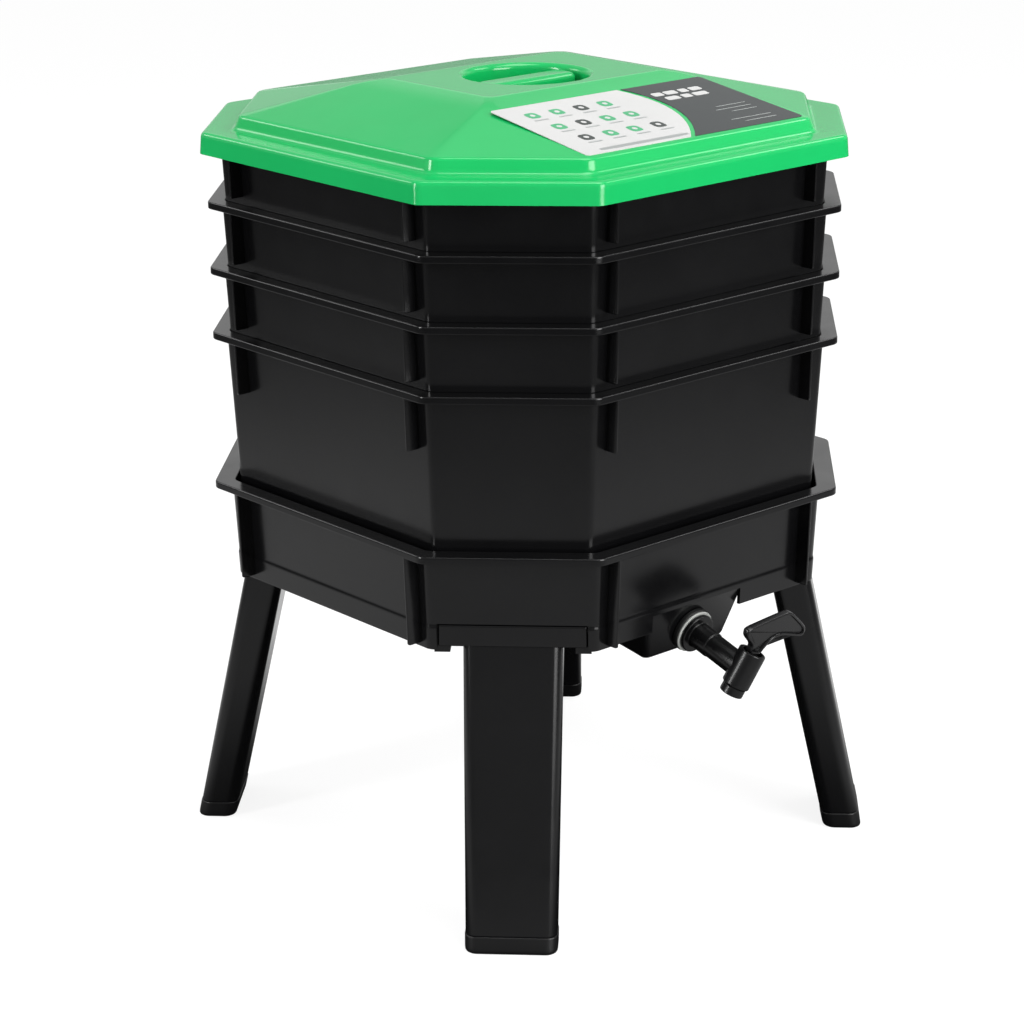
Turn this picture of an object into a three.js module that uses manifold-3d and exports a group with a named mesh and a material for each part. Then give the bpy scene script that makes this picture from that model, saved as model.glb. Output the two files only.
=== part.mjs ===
import * as THREE from 'three';
import { mergeVertices } from 'three/addons/utils/BufferGeometryUtils.js';
import Module from 'manifold-3d';

const wasm = await Module();
wasm.setup();

// All lengths in millimetres, +Z up, the tap looks along -Y, the feet stand on Z = 0.
// Names that end in HALF are half of a width across, those that end in CUT are the length cut
// off each corner along the side, and those that end in Z are levels above the floor.

// Shares, angles and counts used everywhere
const HALF_SHARE = 0.5;
const DIAGONAL_SHARE = Math.SQRT1_2;
const CUT_INSET_SHARE = 2 - Math.SQRT2;
const QUARTER_TURN = Math.PI / 2;
const CORNER_ANGLES = [5, 7, 1, 3].map((eighths) => eighths * Math.PI / 4);
const CORNER_STEPS = 2;

// Clearances
const FIT_GAP = 0.3;
const SKIN_GAP = 0.1;
const OVERLAP = 1;
const WELD = 0.001;

// Trays: thin walls with a lipped flange, drafted so that each nests in the one below
const TRAY_HALF = 196.5;
const TRAY_CUT = 80.5;
const TRAY_HEIGHT = 150;
const TRAY_WALL = 2;
const TRAY_FLOOR = 2.4;
const TRAY_CORNER_R = 5;
const TRAY_FOOT_R = 3;
const NEST_PITCH = 49.3;
const NEST_PLAY = 0.465;
const DRAFT_SHARE = (TRAY_WALL + NEST_PLAY) / NEST_PITCH;
const FLANGE_REACH = 9.7;
const FLANGE_CUT_GROWTH = 4.9;
const FLANGE_PLATE = 2.2;
const FLANGE_LIP = 5.4;
const FLANGE_LIP_WALL = 2;
const FLANGE_EDGE_R = 0.9;
const FLANGE_CORNER_R = 7;
const FIN_THICK = 2.4;
const FIN_CLEARANCE = 5.8;
const FIN_TOP_SETBACK = 0.3;
const FIN_FOOT_SETBACK = 1.6;
const FIN_NEAR_INSET = 11.2;
const FIN_FAR_INSET = 26.5;
const STOP_THICK = 2.4;
const STOP_REACH = 16;
const STOP_SPREAD = 26;
const HOLE_R = 3.6;
const HOLE_SIDES = 6;
const HOLE_STEP = 44;
const HOLE_ROWS_OUT = 3;
const HOLE_STEPS_OUT = 4;

// Legs and foot caps
const LEG_LENGTH = 218.5;
const LEG_SPLAY = 45.5;
const LEG_SHAFT_SETBACK = 1.6;
const LEG_TOP_WIDTH = 71.4;
const LEG_FOOT_WIDTH = 66;
const LEG_TOP_DEPTH = 31;
const LEG_FOOT_DEPTH = 29;
const LEG_EDGE_R = 5;
const LEG_LEAST_EDGE_R = 1;
const LEG_WALL = 3.2;
const LEG_REBATE = 1.4;
const HEAD_WING = 17.3;
const HEAD_DEPTH = 35;
const HEAD_HEIGHT = 16.2;
const HEAD_EDGE_R = 1.5;
const HEAD_SOLE = 3.5;
const CAP_HEIGHT = 13;
const CAP_BASE = 3.5;
const CAP_PROUD = 0.7;
const CAP_ROUND = 1.4;

// Collector and the rails that hold the leg heads
const BASIN_MARGIN = 2;
const BASIN_CUT_GROWTH = 4.5;
const BASIN_FLANGE_REACH = 11;
const BASIN_FLANGE_CUT_GROWTH = 4;
const BASIN_DEPTH = 55.5;
const BASIN_WALL = 2.2;
const BASIN_FLOOR = 2.4;
const BASIN_CORNER_R = 6;
const BASIN_STOP_HEIGHT = 18.4;
const SKIRT_DROP = 2.5;
const BAND_HEIGHT = 17.5;
const BAND_PROUD = 1.2;
const BAND_BEVEL = 1;
const BASIN_FIN_LIFT = 3;
const BASIN_FIN_FOOT_SETBACK = 3.1;
const RAIL_WEB = 2.5;
const RAIL_FOOT = 3.5;
const RAIL_HOLD = 8.8;
const RAIL_BACK_INSET = 4;
const RAIL_FRONT_INSET = 3.6;

// Sump and tap pad
const TAP_X = -11.5;
const PAD_TILT = THREE.MathUtils.degToRad(17);
const PAD_SETBACK = 9.8;
const PAD_DROP = 9;
const PAD_WALL = 3;
const RECESS_HALF = 45;
const RECESS_HEIGHT = 13;
const SUMP_DROP = 25.8;
const SUMP_BACK_RISE = 5.5;
const SUMP_FOOT_DEPTH = 40.7;
const SUMP_TOP_DEPTH = 93.7;
const SUMP_HALF_TOP = 48.8;
const SUMP_HALF_BOTTOM = 39.6;
const SUMP_WALL = 2.4;

// Lid
const LID_WALL = 2.2;
const LID_DRAFT = 0.9;
const LID_PLAY = 1;
const LID_CUT_GROWTH = 2.6;
const LID_SKIRT = 13.7;
const LID_EDGE_R = 2.6;
const LID_CORNER_R = 7;
const LID_INNER_CORNER_R = 5;
const SHELF_WIDTH = 22.3;
const STEP_LEAN = 3.4;
const STEP_CUT_LOSS = 11;
const STEP_HEIGHT = 10.5;
const STEP_EDGE_R = 1.6;
const PLATEAU_HALF_X = 101;
const PLATEAU_HALF_Y = 72;
const PLATEAU_RISE = 19.9;
const CROWN_INSET = 14;
const CROWN_RISE = 2.6;
const WELL_R = 46.4;
const WELL_LIP = 4.4;
const WELL_DEPTH = 26.6;
const WELL_FOOT_R = 5;
const WELL_SIDES = 40;
const BAR_HALF_WIDTH = 11;
const BAR_DROP = 2.4;
const BAR_EDGE_R = 4;
const BAR_WALL = 2.4;

// Label panels on the facet above the tap
const PANEL_THICK = 0.4;
const PANEL_SIDE_MARGIN = 1.1;
const PANEL_TOP_MARGIN = 10;
const PANEL_FOOT_MARGIN = 3.2;
const PANEL_CORNER_R = 3;
const PANEL_SPLIT = 4.2;
const PANEL_ARC_TOP_X = 16;
const PANEL_ARC_MID_X = 24;
const PANEL_ARC_FOOT_X = -6;
const PANEL_ARC_STEPS = 8;
const LIGHT_PANEL_TAPER = -2;
const DARK_PANEL_TAPER = 8;

// Tap, measured out from its pad
const TAP_SIDES = 24;
const NUT_SIDES = 6;
const GASKET_R = 17.2;
const GASKET_THICK = 4;
const WASHER_R = 16.6;
const WASHER_THICK = 2;
const COLLAR_R = 14.8;
const COLLAR_THICK = 3;
const BARREL_R = 9.8;
const BARREL_LENGTH = 15;
const NECK_R = 9.2;
const TAIL_R = 8.9;
const TAIL_END = 4;
const TAP_HOLE_PLAY = 0.5;
const TAP_BORE_R = 5.2;
const TAP_REACH = 57;
const VALVE_ROLL = THREE.MathUtils.degToRad(20);
const VALVE_R = 10.3;
const VALVE_TOP = 15;
const VALVE_DROP = 13.5;
const MOUTH_R = 7.8;
const MOUTH_LENGTH = 6.5;
const SEAT_R = 7.3;
const SEAT_DROP = 8;
const PLUG_BORE_R = 4.4;
const PLUG_BORE_TOP = 5.4;
const PLUG_PROUD = 1.6;
const NUT_R = 13;
const NUT_THICK = 6;
const INNER_SEAL_THICK = 2;
const INNER_SEAL_R = 12.4;
const WING_SPAN = 65;
const WING_RISE = 0.6;
const WING_THICK = 5.4;
const WING_BEVEL = 0.8;

// Levels of the stack, from the floor up
const HEAD_BOTTOM_Z = LEG_LENGTH;
const HEAD_TOP_Z = HEAD_BOTTOM_Z + HEAD_HEIGHT;
const SKIRT_BOTTOM_Z = HEAD_BOTTOM_Z - SKIRT_DROP;
const BAND_TOP_Z = SKIRT_BOTTOM_Z + BAND_HEIGHT;
const COLLECTOR_FLOOR_Z = HEAD_TOP_Z + FIT_GAP;
const COLLECTOR_REST_Z = COLLECTOR_FLOOR_Z + BASIN_FLOOR + BASIN_STOP_HEIGHT;
const COLLECTOR_TOP_Z = COLLECTOR_FLOOR_Z + BASIN_DEPTH;
const TRAY_4_TOP_Z = COLLECTOR_REST_Z + TRAY_HEIGHT;
const TRAY_3_TOP_Z = TRAY_4_TOP_Z + NEST_PITCH;
const TRAY_2_TOP_Z = TRAY_3_TOP_Z + NEST_PITCH;
const TRAY_1_TOP_Z = TRAY_2_TOP_Z + NEST_PITCH;
const LID_RIM_Z = TRAY_1_TOP_Z - LID_SKIRT;
const SHELF_Z = TRAY_1_TOP_Z + LID_WALL;
const STEP_TOP_Z = SHELF_Z + STEP_HEIGHT;
const PLATEAU_Z = STEP_TOP_Z + PLATEAU_RISE;
const CROWN_Z = PLATEAU_Z + CROWN_RISE;

// Plans of the nesting octagons, each taken from the tray's
const FACE_HALF = TRAY_HALF - TRAY_CUT;
const FIN_NEAR = FACE_HALF - FIN_NEAR_INSET;
const FIN_FAR = FACE_HALF - FIN_FAR_INSET;
const TRAY_FLANGE_HALF = TRAY_HALF + FLANGE_REACH;
const TRAY_FLANGE_CUT = TRAY_CUT + FLANGE_CUT_GROWTH;
const BASIN_HALF = TRAY_HALF + BASIN_MARGIN;
const BASIN_CUT = TRAY_CUT + BASIN_CUT_GROWTH;
const BASIN_FLANGE_HALF = BASIN_HALF + BASIN_FLANGE_REACH;
const BASIN_FLANGE_CUT = BASIN_CUT + BASIN_FLANGE_CUT_GROWTH;
const LID_HALF = TRAY_FLANGE_HALF + LID_PLAY + LID_DRAFT + LID_WALL;
const LID_CUT = TRAY_FLANGE_CUT + LID_CUT_GROWTH;
const STEP_BASE_HALF = LID_HALF - SHELF_WIDTH;
const STEP_TOP_HALF = STEP_BASE_HALF - STEP_LEAN;
const STEP_CUT = LID_CUT - STEP_CUT_LOSS;
const PANEL_HALF_WIDTH = STEP_TOP_HALF - STEP_CUT - PANEL_SIDE_MARGIN;

// Places of the leg heads, the sump and the pieces along the tap
const HEAD_WIDTH = LEG_TOP_WIDTH + 2 * HEAD_WING;
const LEG_TOP_R = draftedCornerR(HEAD_BOTTOM_Z);
const LEG_FOOT_R = LEG_TOP_R + LEG_SPLAY;
const RAIL_BACK_R = LEG_TOP_R - HEAD_DEPTH + RAIL_BACK_INSET;
const RAIL_FRONT_R = LEG_TOP_R - RAIL_FRONT_INSET;
const PAD_Y = PAD_SETBACK - BASIN_HALF;
const PAD_Z = SKIRT_BOTTOM_Z - PAD_DROP;
const RECESS_TOP_Z = SKIRT_BOTTOM_Z + RECESS_HEIGHT;
const SUMP_BOTTOM_Z = SKIRT_BOTTOM_Z - SUMP_DROP;
const SUMP_BACK_BOTTOM_Z = SUMP_BOTTOM_Z + SUMP_BACK_RISE;
const SUMP_BACK_BOTTOM_Y = PAD_Y + SUMP_FOOT_DEPTH;
const SUMP_BACK_TOP_Y = PAD_Y + SUMP_TOP_DEPTH;
const RING_BORE_R = TAIL_R + FIT_GAP;
const TAP_HOLE_R = TAIL_R + TAP_HOLE_PLAY;
const WASHER_LOW = 2 * SKIN_GAP + GASKET_THICK;
const COLLAR_LOW = WASHER_LOW + WASHER_THICK + SKIN_GAP;
const COLLAR_HIGH = COLLAR_LOW + COLLAR_THICK;
const BARREL_HIGH = COLLAR_HIGH + BARREL_LENGTH;
const SEAL_HIGH = -PAD_WALL - SKIN_GAP;
const NUT_HIGH = SEAL_HIGH - INNER_SEAL_THICK - SKIN_GAP;
const NUT_LOW = NUT_HIGH - NUT_THICK;
const TAIL_LOW = NUT_LOW - TAIL_END;
const MOUTH_END = -VALVE_DROP - MOUTH_LENGTH;
const PLUG_TOP = VALVE_TOP + PLUG_PROUD;

// Looks: colour, roughness and metalness of each plastic
const BLACK_PLASTIC = { color: 0x26272a, roughness: 0.42, metalness: 0 };
const GREEN_PLASTIC = { color: 0x22c55e, roughness: 0.28, metalness: 0 };
const BLACK_RUBBER = { color: 0x141415, roughness: 0.8, metalness: 0 };
const GREY_WASHER = { color: 0xc9cbc8, roughness: 0.5, metalness: 0 };
const TAP_PLASTIC = { color: 0x1b1b1d, roughness: 0.35, metalness: 0 };
const LIGHT_PANEL = { color: 0xe9ebea, roughness: 0.4, metalness: 0 };
const DARK_PANEL = { color: 0x33363b, roughness: 0.4, metalness: 0 };

// A closed three.js geometry becomes a solid, without empty triangles
function solidOf(geometry) {
  const bare = geometry.index ? geometry.toNonIndexed() : geometry.clone();
  bare.deleteAttribute('normal');
  bare.deleteAttribute('uv');
  const merged = mergeVertices(bare, WELD);
  const source = merged.index.array;
  const kept = [];
  for (let i = 0; i < source.length; i += 3) {
    const [a, b, c] = [source[i], source[i + 1], source[i + 2]];
    if (a !== b && b !== c && a !== c) kept.push(a, b, c);
  }
  return new wasm.Manifold(new wasm.Mesh({
    numProp: 3,
    vertProperties: Float32Array.from(merged.attributes.position.array),
    triVerts: Uint32Array.from(kept),
  }));
}

// A convex outline with every corner rounded, the same number of points whatever the radius
function roundedLoop(corners, radius, z) {
  const points = [];
  corners.forEach((corner, index) => {
    const before = corners[(index + corners.length - 1) % corners.length];
    const after = corners[(index + 1) % corners.length];
    const arriving = new THREE.Vector2().subVectors(corner, before).normalize();
    const leaving = new THREE.Vector2().subVectors(after, corner).normalize();
    const turn = Math.acos(THREE.MathUtils.clamp(arriving.dot(leaving), -1, 1));
    const reach = radius * Math.tan(turn * HALF_SHARE);
    const start = corner.clone().addScaledVector(arriving, -reach);
    const inward = new THREE.Vector2(-arriving.y, arriving.x);
    const centre = start.clone().addScaledVector(inward, radius);
    for (let step = 0; step <= CORNER_STEPS; step += 1) {
      const point = start.clone().rotateAround(centre, turn * step / CORNER_STEPS);
      points.push(new THREE.Vector3(point.x, point.y, z));
    }
  });
  return points;
}

// The eight corners of a square plan with its corners cut off, counter-clockwise from above
function octagonCorners(half, cut) {
  const flat = half - cut;
  return [
    [half, -flat], [half, flat], [flat, half], [-flat, half],
    [-half, flat], [-half, -flat], [-flat, -half], [flat, -half],
  ].map(([x, y]) => new THREE.Vector2(x, y));
}

function octagonRing(half, cut, radius, z) {
  return roundedLoop(octagonCorners(half, cut), radius, z);
}

// A ring parallel to a given octagon, inset by a distance
function insetRing(half, cut, inset, radius, z) {
  return octagonRing(half - inset, cut - inset * CUT_INSET_SHARE, radius, z);
}

// Skin laid over a stack of rings, closed at both ends by flat caps
function loft(rings) {
  const vertices = [];
  const push = (...points) => points.forEach((point) => vertices.push(point.x, point.y, point.z));
  for (let k = 0; k + 1 < rings.length; k += 1) {
    const [low, high] = [rings[k], rings[k + 1]];
    low.forEach((point, i) => {
      const next = (i + 1) % low.length;
      push(point, low[next], high[next]);
      push(point, high[next], high[i]);
    });
  }
  const [first, last] = [rings[0], rings[rings.length - 1]];
  for (let i = 1; i + 1 < first.length; i += 1) {
    push(first[0], first[i + 1], first[i]);
    push(last[0], last[i], last[i + 1]);
  }
  const geometry = new THREE.BufferGeometry();
  geometry.setAttribute('position', new THREE.Float32BufferAttribute(vertices, 3));
  return geometry;
}

// A flat plate from an outline, its thickness centred on the outline's plane
function plate(outline, thick) {
  const shape = new THREE.Shape(outline.map(([x, y]) => new THREE.Vector2(x, y)));
  const geometry = new THREE.ExtrudeGeometry(shape, { depth: thick, bevelEnabled: false });
  return geometry.translate(0, 0, -thick * HALF_SHARE);
}

// Stands a plate upright: its first direction points outward at the given angle, the second up
function standAt(geometry, angle, sideways) {
  const out = new THREE.Vector3(Math.cos(angle), Math.sin(angle), 0);
  const up = new THREE.Vector3(0, 0, 1);
  const side = new THREE.Vector3().crossVectors(out, up);
  const matrix = new THREE.Matrix4().makeBasis(out, up, side);
  matrix.setPosition(side.clone().multiplyScalar(-sideways));
  return geometry.applyMatrix4(matrix);
}

function blockOf(low, high) {
  const geometry = new THREE.BoxGeometry(high[0] - low[0], high[1] - low[1], high[2] - low[2]);
  return geometry.translate(
    (high[0] + low[0]) * HALF_SHARE,
    (high[1] + low[1]) * HALF_SHARE,
    (high[2] + low[2]) * HALF_SHARE,
  );
}

// A turned shape: outline of [radius, height] pairs, starting and ending on the axis
function turned(outline, sides) {
  return new THREE.LatheGeometry(outline.map(([r, h]) => new THREE.Vector2(r, h)), sides);
}

// A ring-shaped disc round the local height axis
function turnedRing(innerR, outerR, low, high, sides) {
  const outline = [[innerR, low], [outerR, low], [outerR, high], [innerR, high], [innerR, low]];
  return turned(outline, sides);
}

function meshOf(name, solid, look) {
  const shape = solid.getMesh();
  const geometry = new THREE.BufferGeometry();
  geometry.setAttribute('position', new THREE.Float32BufferAttribute(shape.vertProperties, 3));
  geometry.setIndex(new THREE.Uint32BufferAttribute(shape.triVerts, 1));
  geometry.computeVertexNormals();
  const mesh = new THREE.Mesh(geometry, new THREE.MeshStandardMaterial(look));
  mesh.name = name;
  return mesh;
}

// Half width of a drafted wall at a level below its flange
function draftedHalf(half, topZ, z) {
  return half - (topZ - z) * DRAFT_SHARE;
}

// Rings from the foot of a drafted wall up over its lipped flange and down the inside
function flangedRings(sizes, topZ, innerZ) {
  const { half, cut, flangeHalf, flangeCut, wall, cornerR } = sizes;
  const underZ = topZ - FLANGE_PLATE;
  const lipZ = topZ - FLANGE_LIP;
  const wallInset = (z) => half - draftedHalf(half, topZ, z);
  return [
    insetRing(half, cut, wallInset(underZ), cornerR, underZ),
    insetRing(flangeHalf, flangeCut, FLANGE_LIP_WALL, FLANGE_CORNER_R, underZ),
    insetRing(flangeHalf, flangeCut, FLANGE_LIP_WALL, FLANGE_CORNER_R, lipZ),
    insetRing(flangeHalf, flangeCut, 0, FLANGE_CORNER_R, lipZ),
    insetRing(flangeHalf, flangeCut, 0, FLANGE_CORNER_R, topZ - FLANGE_EDGE_R),
    insetRing(flangeHalf, flangeCut, FLANGE_EDGE_R, FLANGE_CORNER_R, topZ),
    insetRing(half, cut, wall, cornerR, topZ),
    insetRing(half, cut, wall + wallInset(innerZ), cornerR, innerZ),
  ];
}

// Eight upright fins under a flange, square to the long faces only
function finSet(sizes, topZ, footZ, footSetback) {
  const { half, flangeHalf } = sizes;
  const rootZ = topZ - FLANGE_PLATE * HALF_SHARE;
  const outline = [
    [draftedHalf(half, topZ, footZ) - OVERLAP, footZ],
    [flangeHalf - footSetback, footZ],
    [flangeHalf - FIN_TOP_SETBACK, rootZ],
    [draftedHalf(half, topZ, rootZ) - OVERLAP, rootZ],
  ];
  const places = [
    [-QUARTER_TURN, -FIN_NEAR], [-QUARTER_TURN, FIN_FAR],
    [2 * QUARTER_TURN, -FIN_FAR], [2 * QUARTER_TURN, FIN_NEAR],
    [QUARTER_TURN, -FIN_NEAR], [QUARTER_TURN, FIN_FAR],
    [0, -FIN_FAR], [0, FIN_NEAR],
  ];
  return places.map(([angle, sideways]) => {
    return solidOf(standAt(plate(outline, FIN_THICK), angle, sideways));
  });
}

// Two upright stops in each cut corner, on whose tops the tray above comes to rest
function stopSet(wallR, floorZ, restZ) {
  const outline = [
    [wallR - STOP_REACH, floorZ - OVERLAP],
    [wallR + OVERLAP, floorZ - OVERLAP],
    [wallR + OVERLAP, restZ],
    [wallR - STOP_REACH, restZ],
  ];
  return CORNER_ANGLES.flatMap((angle) => {
    const spread = [-STOP_SPREAD, STOP_SPREAD];
    return spread.map((place) => solidOf(standAt(plate(outline, STOP_THICK), angle, place)));
  });
}

// Distance from the axis to the cut-corner face of an octagon
function cornerFaceR(half, cut) {
  return (2 * half - cut) * DIAGONAL_SHARE;
}

// The same distance on the collector's drafted skirt, at a level
function draftedCornerR(z) {
  return cornerFaceR(BASIN_HALF, BASIN_CUT) - (COLLECTOR_TOP_Z - z) * DRAFT_SHARE;
}

// Drills for the drain holes: a square pattern that keeps clear of the cut corners
function drainHoles(footZ) {
  const drills = [];
  for (let column = -HOLE_ROWS_OUT; column <= HOLE_ROWS_OUT; column += 1) {
    for (let row = -HOLE_ROWS_OUT; row <= HOLE_ROWS_OUT; row += 1) {
      if (Math.abs(column) + Math.abs(row) <= HOLE_STEPS_OUT) {
        const depth = TRAY_FLOOR + 2 * OVERLAP;
        const drill = new THREE.CylinderGeometry(HOLE_R, HOLE_R, depth, HOLE_SIDES);
        drill.rotateX(QUARTER_TURN);
        drill.translate(column * HOLE_STEP, row * HOLE_STEP, footZ + TRAY_FLOOR * HALF_SHARE);
        drills.push(solidOf(drill));
      }
    }
  }
  return drills;
}

const TRAY_SIZES = {
  half: TRAY_HALF,
  cut: TRAY_CUT,
  flangeHalf: TRAY_FLANGE_HALF,
  flangeCut: TRAY_FLANGE_CUT,
  wall: TRAY_WALL,
  cornerR: TRAY_CORNER_R,
};

// One nesting tray: thin drafted wall, perforated floor, lipped flange, fins and stops
function traySolid(topZ) {
  const footZ = topZ - TRAY_HEIGHT;
  const floorZ = footZ + TRAY_FLOOR;
  const footInset = TRAY_HEIGHT * DRAFT_SHARE;
  const outside = [
    insetRing(TRAY_HALF, TRAY_CUT, footInset + TRAY_FOOT_R, TRAY_CORNER_R, footZ),
    insetRing(TRAY_HALF, TRAY_CUT, footInset, TRAY_CORNER_R, footZ + TRAY_FOOT_R),
  ];
  let tray = solidOf(loft([...outside, ...flangedRings(TRAY_SIZES, topZ, floorZ)]));
  const fins = finSet(TRAY_SIZES, topZ, topZ - NEST_PITCH + FIN_CLEARANCE, FIN_FOOT_SETBACK);
  const wallR = cornerFaceR(TRAY_HALF, TRAY_CUT) - footInset - TRAY_WALL;
  const stops = stopSet(wallR, floorZ, footZ + NEST_PITCH);
  [...fins, ...stops].forEach((piece) => { tray = tray.add(piece); });
  drainHoles(footZ).forEach((hole) => { tray = tray.subtract(hole); });
  return tray;
}

// Y of the tilted tap pad at a level, measured at its outer face plus an inward offset
function padY(z, inward) {
  return PAD_Y - (z - PAD_Z) * Math.tan(PAD_TILT) + inward / Math.cos(PAD_TILT);
}

// The sump with its throat: sides lean in downward, the front lies on the tap pad's slope
function sumpBlock(sizes) {
  const { frontZ, backZ, throatZ, backTopY, backBottomY, inward, sideInset } = sizes;
  const leanShare = (SUMP_HALF_TOP - SUMP_HALF_BOTTOM) / (RECESS_TOP_Z - SUMP_BOTTOM_Z);
  const halfAt = (z) => SUMP_HALF_BOTTOM + (z - SUMP_BOTTOM_Z) * leanShare - sideInset;
  const topHalf = halfAt(RECESS_TOP_Z);
  const topY = padY(RECESS_TOP_Z, inward);
  const corner = (across, y, z) => new THREE.Vector3(TAP_X + across, y, z);
  const low = [
    corner(-halfAt(frontZ), padY(frontZ, inward), frontZ),
    corner(halfAt(frontZ), padY(frontZ, inward), frontZ),
    corner(halfAt(backZ), backBottomY, backZ),
    corner(-halfAt(backZ), backBottomY, backZ),
  ];
  const [top, throat] = [RECESS_TOP_Z, throatZ].map((z) => [
    corner(-topHalf, topY, z),
    corner(topHalf, topY, z),
    corner(topHalf, backTopY, z),
    corner(-topHalf, backTopY, z),
  ]);
  return solidOf(loft([low, top, throat]));
}

const BASIN_SIZES = {
  half: BASIN_HALF,
  cut: BASIN_CUT,
  flangeHalf: BASIN_FLANGE_HALF,
  flangeCut: BASIN_FLANGE_CUT,
  wall: BASIN_WALL,
  cornerR: BASIN_CORNER_R,
};

// The basin's skin: skirt with a proud band, drafted wall, lipped flange and inside
function basinShell() {
  const floorTopZ = COLLECTOR_FLOOR_Z + BASIN_FLOOR;
  const ringAt = (z, change) => {
    const inset = (COLLECTOR_TOP_Z - z) * DRAFT_SHARE + change;
    return insetRing(BASIN_HALF, BASIN_CUT, inset, BASIN_CORNER_R, z);
  };
  return solidOf(loft([
    ringAt(COLLECTOR_FLOOR_Z, BASIN_WALL),
    ringAt(SKIRT_BOTTOM_Z, BASIN_WALL),
    ringAt(SKIRT_BOTTOM_Z, -BAND_PROUD),
    ringAt(BAND_TOP_Z, -BAND_PROUD),
    ringAt(BAND_TOP_Z + BAND_BEVEL, 0),
    ...flangedRings(BASIN_SIZES, COLLECTOR_TOP_Z, floorTopZ),
  ]));
}

// The bottom tray: a basin on a short skirt, with a sump, tap pad and sockets for four legs
function collectorSolid() {
  const finFootZ = SKIRT_BOTTOM_Z + BASIN_FIN_LIFT;
  const fins = finSet(BASIN_SIZES, COLLECTOR_TOP_Z, finFootZ, BASIN_FIN_FOOT_SETBACK);
  const floorTopZ = COLLECTOR_FLOOR_Z + BASIN_FLOOR;
  const wallR = draftedCornerR(floorTopZ) - BASIN_WALL;
  const stops = stopSet(wallR, floorTopZ, COLLECTOR_REST_Z);
  const recess = blockOf(
    [TAP_X - RECESS_HALF, -BASIN_HALF - BASIN_WALL, SKIRT_BOTTOM_Z - OVERLAP],
    [TAP_X + RECESS_HALF, padY(RECESS_TOP_Z, 0) + PAD_WALL + BASIN_WALL, RECESS_TOP_Z],
  );
  const sump = sumpBlock({
    frontZ: SUMP_BOTTOM_Z,
    backZ: SUMP_BACK_BOTTOM_Z,
    throatZ: COLLECTOR_FLOOR_Z + OVERLAP,
    backTopY: SUMP_BACK_TOP_Y,
    backBottomY: SUMP_BACK_BOTTOM_Y,
    inward: 0,
    sideInset: 0,
  });
  let basin = basinShell();
  [...fins, ...stops].forEach((piece) => { basin = basin.add(piece); });
  basin = basin.subtract(solidOf(recess)).add(sump).subtract(sumpVoid()).subtract(tapHole());
  return socketed(basin);
}

// Room inside the sump, open to the basin above
function sumpVoid() {
  return sumpBlock({
    frontZ: SUMP_BOTTOM_Z + SUMP_WALL,
    backZ: SUMP_BACK_BOTTOM_Z + SUMP_WALL,
    throatZ: COLLECTOR_FLOOR_Z + BASIN_FLOOR + OVERLAP,
    backTopY: SUMP_BACK_TOP_Y - SUMP_WALL,
    backBottomY: SUMP_BACK_BOTTOM_Y - SUMP_WALL,
    inward: PAD_WALL,
    sideInset: SUMP_WALL,
  });
}

// Tap frame: local height runs out along the barrel, local X stays X, local Z points down
function tapMatrix() {
  const out = new THREE.Vector3(0, -Math.cos(PAD_TILT), -Math.sin(PAD_TILT));
  const sideways = new THREE.Vector3(1, 0, 0);
  const down = new THREE.Vector3().crossVectors(sideways, out);
  const matrix = new THREE.Matrix4().makeBasis(sideways, out, down);
  return matrix.setPosition(TAP_X, PAD_Y, PAD_Z);
}

function tapHole() {
  const drill = new THREE.CylinderGeometry(TAP_HOLE_R, TAP_HOLE_R, 4 * PAD_WALL, TAP_SIDES);
  return solidOf(drill.applyMatrix4(tapMatrix()));
}

// Cuts the four leg notches in the skirt and adds the rails the leg heads slide into
function socketed(basin) {
  let part = basin;
  const openHalf = HEAD_WIDTH * HALF_SHARE + FIT_GAP;
  CORNER_ANGLES.forEach((angle) => {
    const notch = blockOf(
      [RAIL_FRONT_R - BASIN_WALL, -openHalf, SKIRT_BOTTOM_Z - OVERLAP],
      [LEG_TOP_R + BASIN_WALL, openHalf, COLLECTOR_FLOOR_Z],
    );
    part = part.subtract(solidOf(notch.rotateZ(angle)));
    [-1, 1].forEach((side) => {
      part = part.add(solidOf(railGeometry(openHalf, side).rotateZ(angle)));
    });
  });
  return part;
}

// One L-shaped rail beside a leg head: a web from the floor down and a foot under the head
function railGeometry(openHalf, side) {
  const topZ = COLLECTOR_FLOOR_Z + OVERLAP;
  const footTopZ = HEAD_BOTTOM_Z - FIT_GAP;
  const outline = [
    [openHalf, topZ], [openHalf, footTopZ], [openHalf - RAIL_HOLD, footTopZ],
    [openHalf - RAIL_HOLD, footTopZ - RAIL_FOOT],
    [openHalf + RAIL_WEB, footTopZ - RAIL_FOOT], [openHalf + RAIL_WEB, topZ],
  ].map(([across, z]) => [side * across, z]);
  const rail = plate(outline, RAIL_FRONT_R - RAIL_BACK_R);
  rail.rotateX(QUARTER_TURN).rotateZ(QUARTER_TURN);
  return rail.translate((RAIL_FRONT_R + RAIL_BACK_R) * HALF_SHARE, 0, 0);
}

// Horizontal section of a leg at a level, in a frame whose X points outward
function legRing(z, inset) {
  const share = z / HEAD_BOTTOM_Z;
  const outerR = THREE.MathUtils.lerp(LEG_FOOT_R, LEG_TOP_R - LEG_SHAFT_SETBACK, share) - inset;
  const depth = THREE.MathUtils.lerp(LEG_FOOT_DEPTH, LEG_TOP_DEPTH, share) - 2 * inset;
  const half = THREE.MathUtils.lerp(LEG_FOOT_WIDTH, LEG_TOP_WIDTH, share) * HALF_SHARE - inset;
  const corners = [
    [outerR, -half], [outerR, half], [outerR - depth, half], [outerR - depth, -half],
  ];
  const radius = Math.max(LEG_EDGE_R - inset, LEG_LEAST_EDGE_R);
  return roundedLoop(corners.map(([x, y]) => new THREE.Vector2(x, y)), radius, z);
}

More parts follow.
